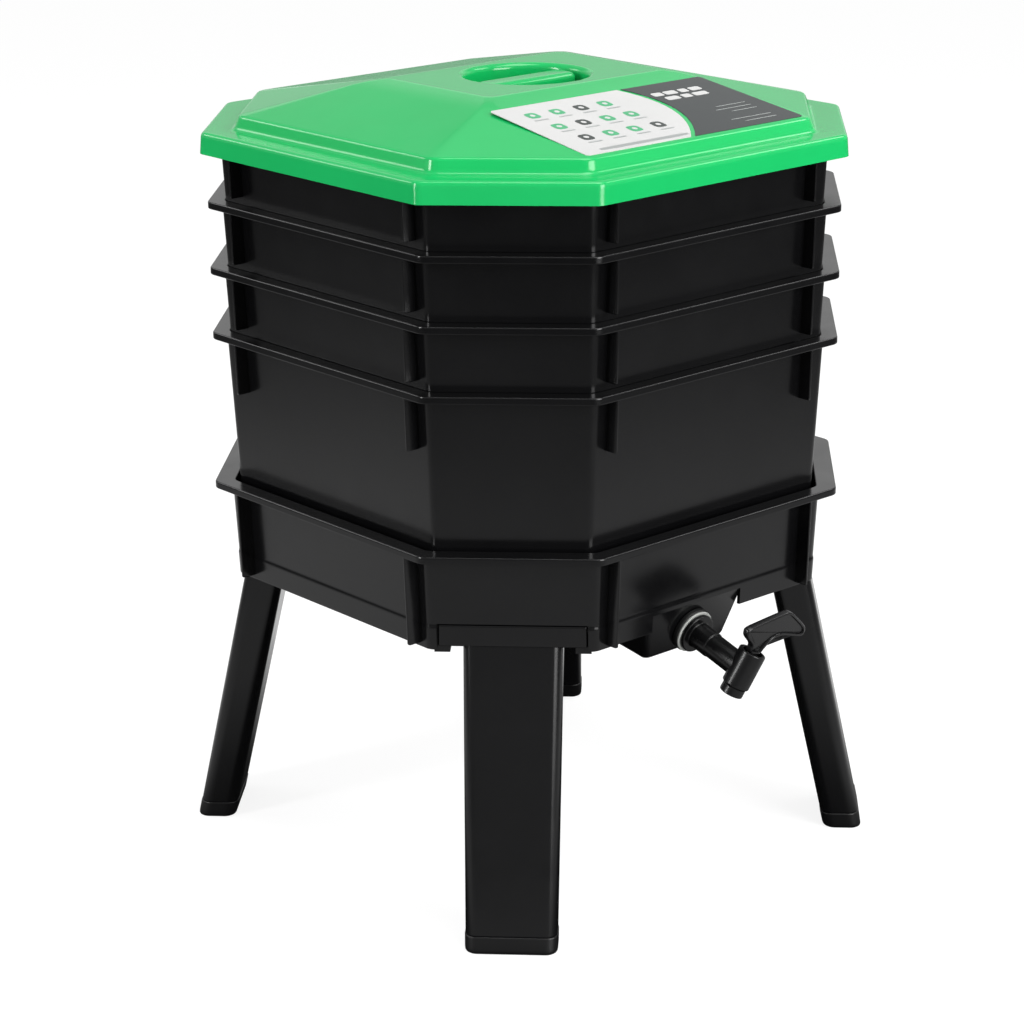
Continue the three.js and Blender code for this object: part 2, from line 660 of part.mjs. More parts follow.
// A hollow splayed leg with a wide head; its foot is stepped in for the cap
function legSolid(angle) {
  const soleZ = HEAD_BOTTOM_Z + HEAD_SOLE;
  const shaft = loft([
    legRing(CAP_BASE, LEG_REBATE),
    legRing(CAP_HEIGHT, LEG_REBATE),
    legRing(CAP_HEIGHT, 0),
    legRing(soleZ, 0),
  ]);
  const headHalf = HEAD_WIDTH * HALF_SHARE;
  const headCorners = [
    [LEG_TOP_R, -headHalf], [LEG_TOP_R, headHalf],
    [LEG_TOP_R - HEAD_DEPTH, headHalf], [LEG_TOP_R - HEAD_DEPTH, -headHalf],
  ].map(([x, y]) => new THREE.Vector2(x, y));
  const head = loft([
    roundedLoop(headCorners, HEAD_EDGE_R, HEAD_BOTTOM_Z),
    roundedLoop(headCorners, HEAD_EDGE_R, HEAD_TOP_Z),
  ]);
  const bore = loft([
    legRing(CAP_BASE - OVERLAP, LEG_WALL),
    legRing(soleZ + LEG_WALL, LEG_WALL),
  ]);
  [shaft, head, bore].forEach((geometry) => geometry.rotateZ(angle));
  return solidOf(shaft).add(solidOf(head)).subtract(solidOf(bore));
}

// A moulded cup over the foot of a leg
function footCapSolid(angle) {
  const outside = loft([
    legRing(0, CAP_ROUND - CAP_PROUD),
    legRing(CAP_ROUND, -CAP_PROUD),
    legRing(CAP_HEIGHT - FIT_GAP, -CAP_PROUD),
  ]);
  const room = loft([
    legRing(CAP_BASE, LEG_REBATE - FIT_GAP),
    legRing(CAP_HEIGHT + OVERLAP, LEG_REBATE - FIT_GAP),
  ]);
  return solidOf(outside.rotateZ(angle)).subtract(solidOf(room.rotateZ(angle)));
}

// Ring of the lid's top plateau: each pair of octagon corners runs to one plateau corner
function plateauRing(inset, z) {
  const [x, y] = [PLATEAU_HALF_X - inset, PLATEAU_HALF_Y - inset];
  const corners = [[x, -y], [x, y], [x, y], [-x, y], [-x, y], [-x, -y], [-x, -y], [x, -y]];
  return corners.flatMap(([px, py]) => {
    const copies = Array.from({ length: CORNER_STEPS + 1 });
    return copies.map(() => new THREE.Vector3(px, py, z));
  });
}

// Solid bounded by the lid's outer skin, or by its inner skin when inset by the wall
function lidBlock(inset, cornerR, edgeR, footZ) {
  const shelfZ = SHELF_Z - inset;
  const stepZ = STEP_TOP_Z - inset;
  const shelfInset = inset + LID_DRAFT;
  return solidOf(loft([
    insetRing(LID_HALF, LID_CUT, inset, cornerR, footZ),
    insetRing(LID_HALF, LID_CUT, shelfInset, cornerR, shelfZ - edgeR),
    insetRing(LID_HALF, LID_CUT, shelfInset + edgeR, cornerR, shelfZ),
    insetRing(STEP_BASE_HALF, STEP_CUT, inset, cornerR, shelfZ),
    insetRing(STEP_TOP_HALF, STEP_CUT, inset, cornerR, stepZ - STEP_EDGE_R),
    insetRing(STEP_TOP_HALF, STEP_CUT, inset + STEP_EDGE_R, cornerR, stepZ),
    plateauRing(inset, PLATEAU_Z - inset),
    plateauRing(inset + CROWN_INSET, CROWN_Z - inset),
  ]));
}

// The round finger well in the lid: rounded lip, straight wall, rounded foot
function wellOutline(grow, topZ) {
  const footZ = CROWN_Z - WELL_DEPTH - grow;
  const radius = WELL_R + grow;
  const footRound = WELL_FOOT_R * (1 - DIAGONAL_SHARE);
  const lipRound = WELL_LIP * (1 - DIAGONAL_SHARE);
  return [
    [0, footZ],
    [radius - WELL_FOOT_R, footZ],
    [radius - footRound, footZ + footRound],
    [radius, footZ + WELL_FOOT_R],
    [radius, CROWN_Z - WELL_LIP],
    [radius + lipRound, CROWN_Z - lipRound],
    [radius + WELL_LIP, CROWN_Z],
    [radius + WELL_LIP, topZ],
    [0, topZ],
  ];
}

function uprightTurned(outline, sides) {
  return turned(outline, sides).rotateX(QUARTER_TURN);
}

// Rounded bar across the finger well, hollow from below
function barBlock(shrink, footZ) {
  const half = BAR_HALF_WIDTH - shrink;
  const topZ = CROWN_Z - BAR_DROP - shrink;
  const round = BAR_EDGE_R * (1 - DIAGONAL_SHARE);
  const outline = [
    [-half, footZ], [half, footZ], [half, topZ - BAR_EDGE_R],
    [half - round, topZ - round], [half - BAR_EDGE_R, topZ],
    [-half + BAR_EDGE_R, topZ], [-half + round, topZ - round], [-half, topZ - BAR_EDGE_R],
  ];
  const length = 2 * (WELL_R + LID_WALL * HALF_SHARE - shrink);
  return solidOf(standAt(plate(outline, length), QUARTER_TURN, 0));
}

// The lid: one thin skin from skirt to plateau, dished into the well and up again as the bar
function lidSolid() {
  const topZ = CROWN_Z + 2 * OVERLAP;
  const wellFootZ = CROWN_Z - WELL_DEPTH;
  const well = solidOf(uprightTurned(wellOutline(0, topZ), WELL_SIDES));
  const wellShell = solidOf(uprightTurned(wellOutline(LID_WALL, topZ), WELL_SIDES));
  const bar = barBlock(0, wellFootZ - LID_WALL * HALF_SHARE);
  const barRoom = barBlock(BAR_WALL, wellFootZ - LID_WALL - OVERLAP);
  const outer = lidBlock(0, LID_CORNER_R, LID_EDGE_R, LID_RIM_Z);
  const inner = lidBlock(LID_WALL, LID_INNER_CORNER_R, FIT_GAP, LID_RIM_Z - OVERLAP);
  return outer.subtract(well).add(bar).subtract(inner.subtract(wellShell)).subtract(barRoom);
}

// X of the curved edge between the two panels, by share of the way down the facet
function panelArcX(share) {
  const bulgeX = 2 * PANEL_ARC_MID_X - (PANEL_ARC_TOP_X + PANEL_ARC_FOOT_X) * HALF_SHARE;
  const arc = new THREE.QuadraticBezierCurve(
    new THREE.Vector2(PANEL_ARC_TOP_X, 0),
    new THREE.Vector2(bulgeX, 0),
    new THREE.Vector2(PANEL_ARC_FOOT_X, 0),
  );
  return arc.getPoint(share).x;
}

// Thin panel lying on the facet above the tap, cut from an outline seen from above
function panelSolid(outlineOf) {
  const run = STEP_TOP_HALF - STEP_EDGE_R - PLATEAU_HALF_Y;
  const rise = PLATEAU_Z - STEP_TOP_Z;
  const slope = Math.atan2(rise, run);
  const length = Math.hypot(run, rise) - PANEL_TOP_MARGIN - PANEL_FOOT_MARGIN;
  const geometry = plate(outlineOf(length), PANEL_THICK);
  geometry.translate(0, -PANEL_TOP_MARGIN, SKIN_GAP + PANEL_THICK * HALF_SHARE);
  geometry.rotateX(slope);
  geometry.translate(0, -PLATEAU_HALF_Y, PLATEAU_Z);
  return solidOf(geometry);
}

// Three points round a panel's corner, from its top or foot edge to its outer side
function clipped(x, y, outward, upward) {
  const near = PANEL_CORNER_R * (1 - DIAGONAL_SHARE);
  return [
    [x - outward * PANEL_CORNER_R, y],
    [x - outward * near, y - upward * near],
    [x, y - upward * PANEL_CORNER_R],
  ];
}

// One panel: its curved inner edge down the facet, then round its outer corners and back
function panelOutline(length, outward, taper) {
  const edge = Array.from({ length: PANEL_ARC_STEPS + 1 }, (_, step) => {
    const share = step / PANEL_ARC_STEPS;
    return [panelArcX(share) + outward * PANEL_SPLIT * HALF_SHARE, -length * share];
  });
  const foot = clipped(outward * PANEL_HALF_WIDTH, -length, outward, -1);
  const top = clipped(outward * (PANEL_HALF_WIDTH - taper), 0, outward, 1);
  return [...edge, ...foot, ...top.reverse()];
}

function alongTap(geometry) {
  return solidOf(geometry.applyMatrix4(tapMatrix()));
}

// A flat ring on the tap's tail, between two distances from the pad
function tailRing(outerR, low, high) {
  return alongTap(turnedRing(RING_BORE_R, outerR, low, high, TAP_SIDES));
}

// Six-sided nut on the tail of the tap, inside the sump
function nutSolid() {
  const block = turned([[0, NUT_LOW], [NUT_R, NUT_LOW], [NUT_R, NUT_HIGH], [0, NUT_HIGH]], NUT_SIDES);
  const [low, high] = [NUT_LOW - OVERLAP, NUT_HIGH + OVERLAP];
  const bore = turned([[0, low], [RING_BORE_R, low], [RING_BORE_R, high], [0, high]], TAP_SIDES);
  return alongTap(block).subtract(alongTap(bore));
}

// Valve frame: local height is the valve's own axis, rolled a little about the barrel
function valveMatrix() {
  const toAxis = new THREE.Matrix4().makeRotationX(-QUARTER_TURN);
  const roll = new THREE.Matrix4().makeRotationY(-VALVE_ROLL);
  const shift = new THREE.Matrix4().makeTranslation(0, TAP_REACH, 0);
  return tapMatrix().multiply(shift).multiply(roll).multiply(toAxis);
}

function alongValve(geometry) {
  return solidOf(geometry.applyMatrix4(valveMatrix()));
}

// Tail, collar, barrel, valve body and mouth moulded in one piece, bored right through
function tapBodySolid() {
  const tail = alongTap(turned([
    [0, TAIL_LOW], [TAIL_R, TAIL_LOW], [TAIL_R, COLLAR_LOW], [COLLAR_R, COLLAR_LOW],
    [COLLAR_R, COLLAR_HIGH], [BARREL_R, COLLAR_HIGH], [BARREL_R, BARREL_HIGH],
    [NECK_R, BARREL_HIGH + OVERLAP], [NECK_R, TAP_REACH], [0, TAP_REACH],
  ], TAP_SIDES));
  const valve = alongValve(turned([
    [0, MOUTH_END], [MOUTH_R, MOUTH_END], [MOUTH_R, -VALVE_DROP],
    [VALVE_R, OVERLAP - VALVE_DROP], [VALVE_R, VALVE_TOP], [0, VALVE_TOP],
  ], TAP_SIDES));
  const bore = alongTap(turned([
    [0, TAIL_LOW - OVERLAP], [TAP_BORE_R, TAIL_LOW - OVERLAP], [TAP_BORE_R, TAP_REACH],
    [0, TAP_REACH],
  ], TAP_SIDES));
  const seat = alongValve(turned([
    [0, MOUTH_END - OVERLAP], [TAP_BORE_R, MOUTH_END - OVERLAP], [TAP_BORE_R, -SEAT_DROP],
    [SEAT_R, -SEAT_DROP], [SEAT_R, VALVE_TOP + OVERLAP], [0, VALVE_TOP + OVERLAP],
  ], TAP_SIDES));
  return tail.add(valve).subtract(bore).subtract(seat);
}

// Outline of the lever seen square to the barrel, in shares of its span: across the valve
// axis, and up from the top of the valve body
const WING_SHARES = [
  [-0.108, 0.000],
  [-0.138, 0.077],
  [-0.300, 0.169],
  [-0.338, 0.262],
  [-0.050, 0.400],
  [0.231, 0.532],
  [0.323, 0.527],
  [0.654, 0.395],
  [0.717, 0.330],
  [0.714, 0.268],
  [0.662, 0.243],
  [0.323, 0.237],
  [0.192, 0.182],
  [0.129, 0.046],
  [0.108, 0.000],
];

// The turning plug with its finger lever
function leverSolid() {
  const plugR = SEAT_R - FIT_GAP;
  const plugLow = FIT_GAP - SEAT_DROP;
  const plug = alongValve(turned([
    [0, plugLow], [plugR, plugLow], [plugR, PLUG_TOP], [0, PLUG_TOP],
  ], TAP_SIDES));
  const hollow = alongValve(turned([
    [0, plugLow - OVERLAP], [PLUG_BORE_R, plugLow - OVERLAP], [PLUG_BORE_R, PLUG_BORE_TOP],
    [0, PLUG_BORE_TOP],
  ], TAP_SIDES));
  const port = new THREE.CylinderGeometry(PLUG_BORE_R, PLUG_BORE_R, 2 * SEAT_R, TAP_SIDES);
  port.rotateZ(QUARTER_TURN).translate(-SEAT_R, 0, 0);
  const shape = new THREE.Shape(WING_SHARES.map(([across, up]) => {
    return new THREE.Vector2(across * WING_SPAN, VALVE_TOP + WING_RISE + up * WING_SPAN);
  }));
  const wing = new THREE.ExtrudeGeometry(shape, {
    depth: WING_THICK - 2 * WING_BEVEL,
    bevelEnabled: true,
    bevelThickness: WING_BEVEL,
    bevelSize: WING_BEVEL,
    bevelOffset: -WING_BEVEL,
    bevelSegments: 1,
  });
  wing.translate(0, 0, -WING_THICK * HALF_SHARE + WING_BEVEL);
  return plug.add(alongValve(wing)).subtract(hollow).subtract(alongValve(port));
}

const group = new THREE.Group();
group.name = 'wormery';
group.add(meshOf('collector_tray', collectorSolid(), BLACK_PLASTIC));
CORNER_ANGLES.forEach((angle, index) => {
  group.add(meshOf(`leg_${index + 1}`, legSolid(angle), BLACK_PLASTIC));
  group.add(meshOf(`foot_cap_${index + 1}`, footCapSolid(angle), BLACK_RUBBER));
});
const gasket = tailRing(GASKET_R, SKIN_GAP, SKIN_GAP + GASKET_THICK);
const washer = tailRing(WASHER_R, WASHER_LOW, WASHER_LOW + WASHER_THICK);
const innerSeal = tailRing(INNER_SEAL_R, SEAL_HIGH - INNER_SEAL_THICK, SEAL_HIGH);
group.add(meshOf('tap_gasket', gasket, BLACK_RUBBER));
group.add(meshOf('tap_washer', washer, GREY_WASHER));
group.add(meshOf('tap_body', tapBodySolid(), TAP_PLASTIC));
group.add(meshOf('tap_inner_seal', innerSeal, BLACK_RUBBER));
group.add(meshOf('tap_nut', nutSolid(), TAP_PLASTIC));
group.add(meshOf('tap_lever', leverSolid(), TAP_PLASTIC));
group.add(meshOf('tray_4', traySolid(TRAY_4_TOP_Z), BLACK_PLASTIC));
group.add(meshOf('tray_3', traySolid(TRAY_3_TOP_Z), BLACK_PLASTIC));
group.add(meshOf('tray_2', traySolid(TRAY_2_TOP_Z), BLACK_PLASTIC));
group.add(meshOf('tray_1', traySolid(TRAY_1_TOP_Z), BLACK_PLASTIC));
group.add(meshOf('lid', lidSolid(), GREEN_PLASTIC));
const lightOutline = (length) => panelOutline(length, -1, LIGHT_PANEL_TAPER);
const darkOutline = (length) => panelOutline(length, 1, DARK_PANEL_TAPER);
group.add(meshOf('label_panel_light', panelSolid(lightOutline), LIGHT_PANEL));
group.add(meshOf('label_panel_dark', panelSolid(darkOutline), DARK_PANEL));

export default group;
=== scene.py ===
"""An octagonal stacking wormery: four nested trays on a collector with a tap, a green lid
and four splayed legs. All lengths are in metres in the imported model's frame: +Z up, the feet
on Z = 0, the stack's centre line on the Z axis and the tap towards -Y."""
import math

import bpy
import numpy as np
from mathutils import Matrix, Vector


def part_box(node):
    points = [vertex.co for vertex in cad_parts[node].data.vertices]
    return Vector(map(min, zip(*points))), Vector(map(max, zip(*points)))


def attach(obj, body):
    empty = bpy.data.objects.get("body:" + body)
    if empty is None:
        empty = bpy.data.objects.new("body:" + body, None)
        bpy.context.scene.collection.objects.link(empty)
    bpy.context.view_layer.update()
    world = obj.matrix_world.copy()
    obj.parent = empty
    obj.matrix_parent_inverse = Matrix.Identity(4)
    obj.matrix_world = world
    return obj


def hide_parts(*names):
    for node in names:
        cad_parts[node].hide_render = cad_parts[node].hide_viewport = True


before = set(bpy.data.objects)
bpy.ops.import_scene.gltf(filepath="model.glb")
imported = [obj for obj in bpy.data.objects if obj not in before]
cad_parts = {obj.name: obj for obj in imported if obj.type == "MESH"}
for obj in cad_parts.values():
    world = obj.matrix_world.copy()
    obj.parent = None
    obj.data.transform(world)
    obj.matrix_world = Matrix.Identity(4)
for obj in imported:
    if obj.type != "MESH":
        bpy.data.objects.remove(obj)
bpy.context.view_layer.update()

# Camera. The photograph was taken from in front of one cut corner, a little above the lid,
# with a long lens. The place, aim and roll were fitted to the object's straight edges.
CAMERA_PLACE = Vector((-1.4159, -1.5732, 0.9442))
CAMERA_AZIMUTH, CAMERA_ELEVATION, CAMERA_ROLL = (math.radians(v) for v in (-41.32, 18.15, -0.47))
CAMERA_LENS_MM, CAMERA_SENSOR_MM = 101.03, 36.0
CAMERA_SHIFT = (0.0154, -0.0027)


def look_at(place, azimuth, elevation, roll):
    """Camera matrix: it looks down the direction given by azimuth (0 along +Y) and elevation
    above the horizon, and is then turned about that direction by roll."""
    forward = Vector((
        -math.sin(azimuth) * math.cos(elevation),
        math.cos(azimuth) * math.cos(elevation),
        -math.sin(elevation),
    ))
    right = Vector((math.cos(azimuth), math.sin(azimuth), 0))
    up = right.cross(forward)
    turned_right = math.cos(roll) * right + math.sin(roll) * up
    turned_up = math.cos(roll) * up - math.sin(roll) * right
    turned = Matrix((turned_right, turned_up, -forward)).transposed().to_4x4()
    return Matrix.Translation(place) @ turned


camera_data = bpy.data.cameras.new("photo_camera")
camera_data.lens, camera_data.sensor_width = CAMERA_LENS_MM, CAMERA_SENSOR_MM
camera_data.shift_x, camera_data.shift_y = CAMERA_SHIFT
camera_data.clip_end = 100
camera = bpy.data.objects.new("photo_camera", camera_data)
camera.matrix_world = look_at(CAMERA_PLACE, CAMERA_AZIMUTH, CAMERA_ELEVATION, CAMERA_ROLL)
bpy.context.scene.collection.objects.link(camera)
bpy.context.scene.camera = camera
bpy.context.scene.view_settings.view_transform = "Standard"

# Stage. A white sweep under and behind the object, in a studio that is white behind it and dimmer
# around the camera. Soft boxes stand to the camera's left, right and low right, one hangs
# overhead and two light the rear edges. None of it is part of the object.
SWEEP_RINGS, SWEEP_SIDES = (0.02, 0.5, 1, 2, 4, 14), 72
SWEEP_HEX, SWEEP_GLOW, SWEEP_PAPER = "#aaaaaa", 0.85, (0.24, 0.24, 0.24, 1)
STUDIO_STRENGTH, FRONT_SHARE, SIDE_POWER = 0.50, 0.45, 1.5
BAND_HEIGHTS = 0.02, 0.06, 0.2, 0.28, 0.36, 0.44, 0.50, 0.57
BAND_LEVELS = 1.0, 0.5, 0.5, 1.0, 1.0, 0.3, 0.3, 0.7
# Painted shade in the sweep's mirrored glow: levels at radii from the axis, a painted shadow under the
# object and a painted falloff of light far away.
SHADE_POOL_REACH, SHADE_POOL_RADII, SHADE_POOL_LEVELS = 2.0, (0.24, 0.42, 0.85, 1.30, 1.90), (0.02, 0.95, 0.95, 0.38, 0.12)
WHITE = (1, 1, 1, 1)
AIM_HEIGHT = 0.45
SOFT_BOXES = {  # place, width and height, watts
    "left_box": ((-2.55, 0.45, 1.15), (0.4, 1.7), 34),
    "right_box": ((0.35, -2.6, 1.15), (1.4, 1.7), 66),
    "top_box": ((0.1, -0.45, 2.3), (1.2, 1.2), 21),
    "left_rim_box": ((-1.25, 2.0, 1.65), (1.0, 0.6), 10),
    "right_rim_box": ((2.1, -0.75, 2.35), (1.2, 0.6), 12),
    "low_box": ((0.05, -2.6, 0.2), (1.5, 0.4), 5),
}


def linear(code):
    """sRGB hex to linear RGBA: c / 12.92 up to 0.04045, and above ((c + 0.055) / 1.055) ^ 2.4."""
    parts = np.array([int(code[i:i + 2], 16) for i in (1, 3, 5)]) / 255
    curved = np.where(parts <= 0.04045, parts / 12.92, ((parts + 0.055) / 1.055) ** 2.4)
    return (*curved.tolist(), 1.0)


def add(tree, kind, links=None, **settings):
    """Adds a node. A setting goes to the input of that name, with _ for a space, or else to
    the property of that name; links gives the output that feeds each named input."""
    node = tree.nodes.new(kind)
    for name, value in settings.items():
        if hasattr(node, name):
            setattr(node, name, value)
        else:
            node.inputs[name.replace("_", " ")].default_value = value
    for name, source in (links or {}).items():
        tree.links.new(source, node.inputs[name])
    return node


def new_material(name):
    """An empty node material, its tree and its output node."""
    material = bpy.data.materials.new(name)
    material.use_nodes = True
    material.node_tree.nodes.clear()
    output = material.node_tree.nodes.new("ShaderNodeOutputMaterial")
    return material, material.node_tree, output


def set_levels(ramp, places, levels):
    """Gives a colour ramp grey stops."""
    stops = ramp.color_ramp.elements
    while len(stops) < len(places):
        stops.new(1)
    for stop, place, level in zip(stops, places, levels):
        stop.position, stop.color = place, (level, level, level, 1)


def studio_glow(tree, direction):
    """How bright a mirrored part of the studio is: a share f + (1 - f) b ^ 1.5, where b goes
    from 0 towards the camera to 1 behind the object, times a level that depends on height, with
    dark bands between the backdrop, the boxes and the ceiling."""
    unit = add(tree, "ShaderNodeVectorMath", {0: direction}, operation="NORMALIZE")
    toward = add(tree, "ShaderNodeVectorMath", {0: unit.outputs[0]}, operation="DOT_PRODUCT")
    toward.inputs[1].default_value = Vector((CAMERA_PLACE.x, CAMERA_PLACE.y, 0)).normalized()
    behind = add(tree, "ShaderNodeMapRange", {"Value": toward.outputs["Value"]}, From_Min=1,
                 From_Max=-1)
    power = add(tree, "ShaderNodeMath", {0: behind.outputs[0]}, operation="POWER")
    power.inputs[1].default_value = SIDE_POWER
    share = add(tree, "ShaderNodeMapRange", {"Value": power.outputs[0]}, To_Min=FRONT_SHARE)
    height = add(tree, "ShaderNodeSeparateXYZ", {0: unit.outputs[0]})
    band = add(tree, "ShaderNodeValToRGB", {"Fac": height.outputs["Z"]})
    set_levels(band, BAND_HEIGHTS, BAND_LEVELS)
    return add(tree, "ShaderNodeMath", {0: share.outputs[0], 1: band.outputs["Color"]},
               operation="MULTIPLY").outputs[0]


def by_ray(tree, output, *shaders):
    """Feeds an output one of three shaders: the third to camera rays, the second to glossy and
    transmission rays, and the first to the light that falls on the object."""
    path = add(tree, "ShaderNodeLightPath").outputs
    either = add(tree, "ShaderNodeMath", {0: path["Is Glossy Ray"], 1: path["Is Transmission Ray"]},
                 operation="ADD", use_clamp=True)
    unseen, mirrored, seen = (shader.outputs[0] for shader in shaders)
    rest = add(tree, "ShaderNodeMixShader", {0: either.outputs[0], 1: unseen, 2: mirrored})
    mix = add(tree, "ShaderNodeMixShader", {0: path["Is Camera Ray"], 1: rest.outputs[0], 2: seen})
    tree.links.new(mix.outputs[0], output.inputs["Surface"])


def sweep_mesh():
    """The floor: a flat disc, each ring of points at radius r and angle t."""
    turn = np.linspace(0, 2 * np.pi, SWEEP_SIDES, endpoint=False)
    r, t = np.meshgrid(SWEEP_RINGS, turn, indexing="ij")
    points = np.stack([r * np.cos(t), r * np.sin(t), 0 * r], -1).reshape(-1, 3)
    grid = np.arange(r.size).reshape(r.shape)
    low, high = grid[:-1], grid[1:]
    quads = np.stack([low, high, np.roll(high, -1, 1), np.roll(low, -1, 1)], -1)
    mesh = bpy.data.meshes.new("sweep")
    mesh.from_pydata(points, [], quads.reshape(-1, 4).tolist() + [grid[0].tolist()])
    return mesh


# The sweep glows for the camera and still takes a shadow. Its glow in mirrored rays carries painted
# shade: a painted shadow under the object and a painted falloff of light far away. The light that it
# throws up is that of a mid grey.
sweep_material, tree, output = new_material("matte_white_sweep")
matte = add(tree, "ShaderNodeBsdfDiffuse", Color=linear(SWEEP_HEX))
glow = add(tree, "ShaderNodeEmission", Color=WHITE, Strength=SWEEP_GLOW)
paper = add(tree, "ShaderNodeBsdfDiffuse", Color=SWEEP_PAPER)
white = add(tree, "ShaderNodeAddShader", {0: glow.outputs[0], 1: paper.outputs[0]})
place = add(tree, "ShaderNodeNewGeometry").outputs["Position"]
distance = add(tree, "ShaderNodeVectorMath", {0: place}, operation="LENGTH")
reach = add(tree, "ShaderNodeMath", {0: distance.outputs["Value"]}, operation="DIVIDE")
reach.inputs[1].default_value = SHADE_POOL_REACH
# Painted shadow under the object and painted falloff of light far away, by distance from the axis.
painted_shade_pool = add(tree, "ShaderNodeValToRGB", {"Fac": reach.outputs[0]})
set_levels(painted_shade_pool, [radius / SHADE_POOL_REACH for radius in SHADE_POOL_RADII], SHADE_POOL_LEVELS)
level = add(tree, "ShaderNodeMath", {0: painted_shade_pool.outputs["Color"], 1: studio_glow(tree, place)},
            operation="MULTIPLY")
mirrored = add(tree, "ShaderNodeEmission", {"Strength": level.outputs[0]}, Color=WHITE)
by_ray(tree, output, matte, mirrored, white)
sweep = bpy.data.objects.new("sweep", sweep_mesh())
sweep.data.materials.append(sweep_material)
bpy.context.scene.collection.objects.link(sweep)

world = bpy.data.worlds.new("studio")
world.use_nodes = True
tree = world.node_tree
tree.nodes.clear()
output = tree.nodes.new("ShaderNodeOutputWorld")
direction = add(tree, "ShaderNodeTexCoord").outputs["Generated"]
surround = add(tree, "ShaderNodeBackground", Color=WHITE, Strength=STUDIO_STRENGTH)
mirrored = add(tree, "ShaderNodeBackground", {"Strength": studio_glow(tree, direction)}, Color=WHITE)
backdrop = add(tree, "ShaderNodeBackground", Color=WHITE, Strength=1)
by_ray(tree, output, surround, mirrored, backdrop)
bpy.context.scene.world = world

for name, (spot, size, watts) in SOFT_BOXES.items():
    lamp = bpy.data.lights.new(name, "AREA")
    lamp.shape, lamp.size, lamp.size_y, lamp.energy = "RECTANGLE", *size, watts
    box = bpy.data.objects.new(name, lamp)
    aim = Vector((-spot[0], -spot[1], AIM_HEIGHT - spot[2]))
    box.matrix_world = Matrix.Translation(spot) @ aim.to_track_quat("-Z", "Y").to_matrix().to_4x4()
    bpy.context.scene.collection.objects.link(box)

# Collector. The bottom tray: an injection-moulded basin in black polypropylene, with a lipped
# flange, eight fins, a proud band round its skirt and a sump for the tap. Its floor rests on
# the leg heads, which slide into notches and rails at the four cut corners.
DRAFT = 0.05
BASIN_HALF, BASIN_CUT, BASIN_CORNER = 0.1985, 0.085, 0.009
BASIN_WALL, BASIN_FLOOR, BASIN_DEPTH = 0.0022, 0.0024, 0.0555
BASIN_FLANGE_HALF, BASIN_FLANGE_CUT, FLANGE_CORNER = 0.2095, 0.089, 0.011
FLANGE_PLATE, FLANGE_LIP, FLANGE_LIP_WALL = 0.0022, 0.0054, 0.002
BAND_PROUD, BAND_HEIGHT, BAND_SLOPE, SKIRT_HEIGHT = 0.0006, 0.0165, 0.0025, 0.019
FIN_THICK, FIN_NEAR, FIN_FAR, FIN_SETBACK, FIN_RISE = 0.0018, 0.1015, 0.0940, 0.0031, 0.003
FIN_INSET, FIN_ROUND = 0.0003, 0.0015
STOP_REACH, STOP_SPREAD, STOP_EASE = 0.016, 0.026, 0.0005
BLADE_ROUND, OVERLAP, SHARP_ANGLE = 0.0006, 0.001, 38
TONE_SCALE, SATIN_SCALE, GRAIN_DEPTH = 9.0, 40.0, 0.00005
CUT_SHARE = 2 - math.sqrt(2)
FLOOR_INSET = 0.02


def ring_row(half, cut, corner, inset, z):
    """One ring of a skin, moved in by inset: half x, half y, height, corner cut, corner radius.
    A parallel octagon loses (2 - sqrt 2) of the inset from its cut."""
    return [half - inset, half - inset, z, cut - inset * CUT_SHARE, corner]


def eased(rows, rounds, steps=4, plane=(0, 2), hold=1.4):
    """Rounds the inner corners of a profile. Corner P gives way to the curve
    (1-t)^2 S + 2t(1-t) P + t^2 E, where S and E lie at the round's distance from P towards its
    neighbours, and a row at 1.4 times that distance on either side keeps the flats flat."""
    rows = np.asarray(rows, float)
    before, corner, after = rows[:-2], rows[1:-1], rows[2:]
    reach = np.asarray(rounds, float)[:, None]

    def toward(other, distance):
        span = np.linalg.norm((other - corner)[:, plane], axis=1, keepdims=True)
        return (corner + (other - corner) * distance / span)[:, None]

    t = np.linspace(0, 1, steps + 1)[None, :, None]
    curve = (1 - t) ** 2 * toward(before, reach) + t ** 2 * toward(after, reach)
    curve = curve + 2 * t * (1 - t) * corner[:, None]
    outer = [toward(before, hold * reach), curve, toward(after, hold * reach)]
    curved = np.concatenate(outer, axis=1).reshape(-1, rows.shape[1])
    return np.concatenate([rows[:1], curved, rows[-1:]])


def octagon_rings(rows, steps=5, between=0, beside=0.0015):
    """Rings of points round octagons, one for each row. Face k looks along 45k degrees, at the
    half width, or at (half x + half y - cut) / sqrt 2 on a cut corner. Between two faces runs
    an arc of the corner radius, with one more point beside each of its ends, and more points
    between may part each face."""
    half_x, half_y, height, cut, corner = np.asarray(rows, float).T[..., None]
    face = np.arange(8)
    straight = np.where(face % 4 == 0, half_x, half_y)
    distance = np.where(face % 2 == 1, (half_x + half_y - cut) / math.sqrt(2), straight) - corner
    slide = (np.roll(distance, -1, axis=1) - distance * math.cos(math.pi / 4)) / math.sin(math.pi / 4)
    turn = face * math.pi / 4
    out = np.stack([np.cos(turn), np.sin(turn)], -1)
    along = np.stack([-np.sin(turn), np.cos(turn)], -1)
    centre = distance[..., None] * out + slide[..., None] * along
    share = np.concatenate([[0], np.linspace(0, 1, steps + 1), [1]])
    aside = np.concatenate([[-beside], np.zeros(steps + 1), [beside]])[:, None]
    angle = turn[:, None] + share * math.pi / 4
    spoke = np.stack([np.cos(angle), np.sin(angle)], -1)
    tangent = np.stack([-np.sin(angle), np.cos(angle)], -1)
    points = centre[:, :, None] + corner[..., None, None] * spoke + aside * tangent
    gap = np.linspace(0, 1, between + 2)[1:-1, None]
    start, end = points[:, :, -1:], np.roll(points, -1, axis=1)[:, :, :1]
    points = np.concatenate([points, start + (end - start) * gap], axis=2)
    points = points.reshape(len(points), -1, 2)
    level = np.broadcast_to(height[:, :, None], (*points.shape[:2], 1))
    return np.concatenate([points, level], -1)


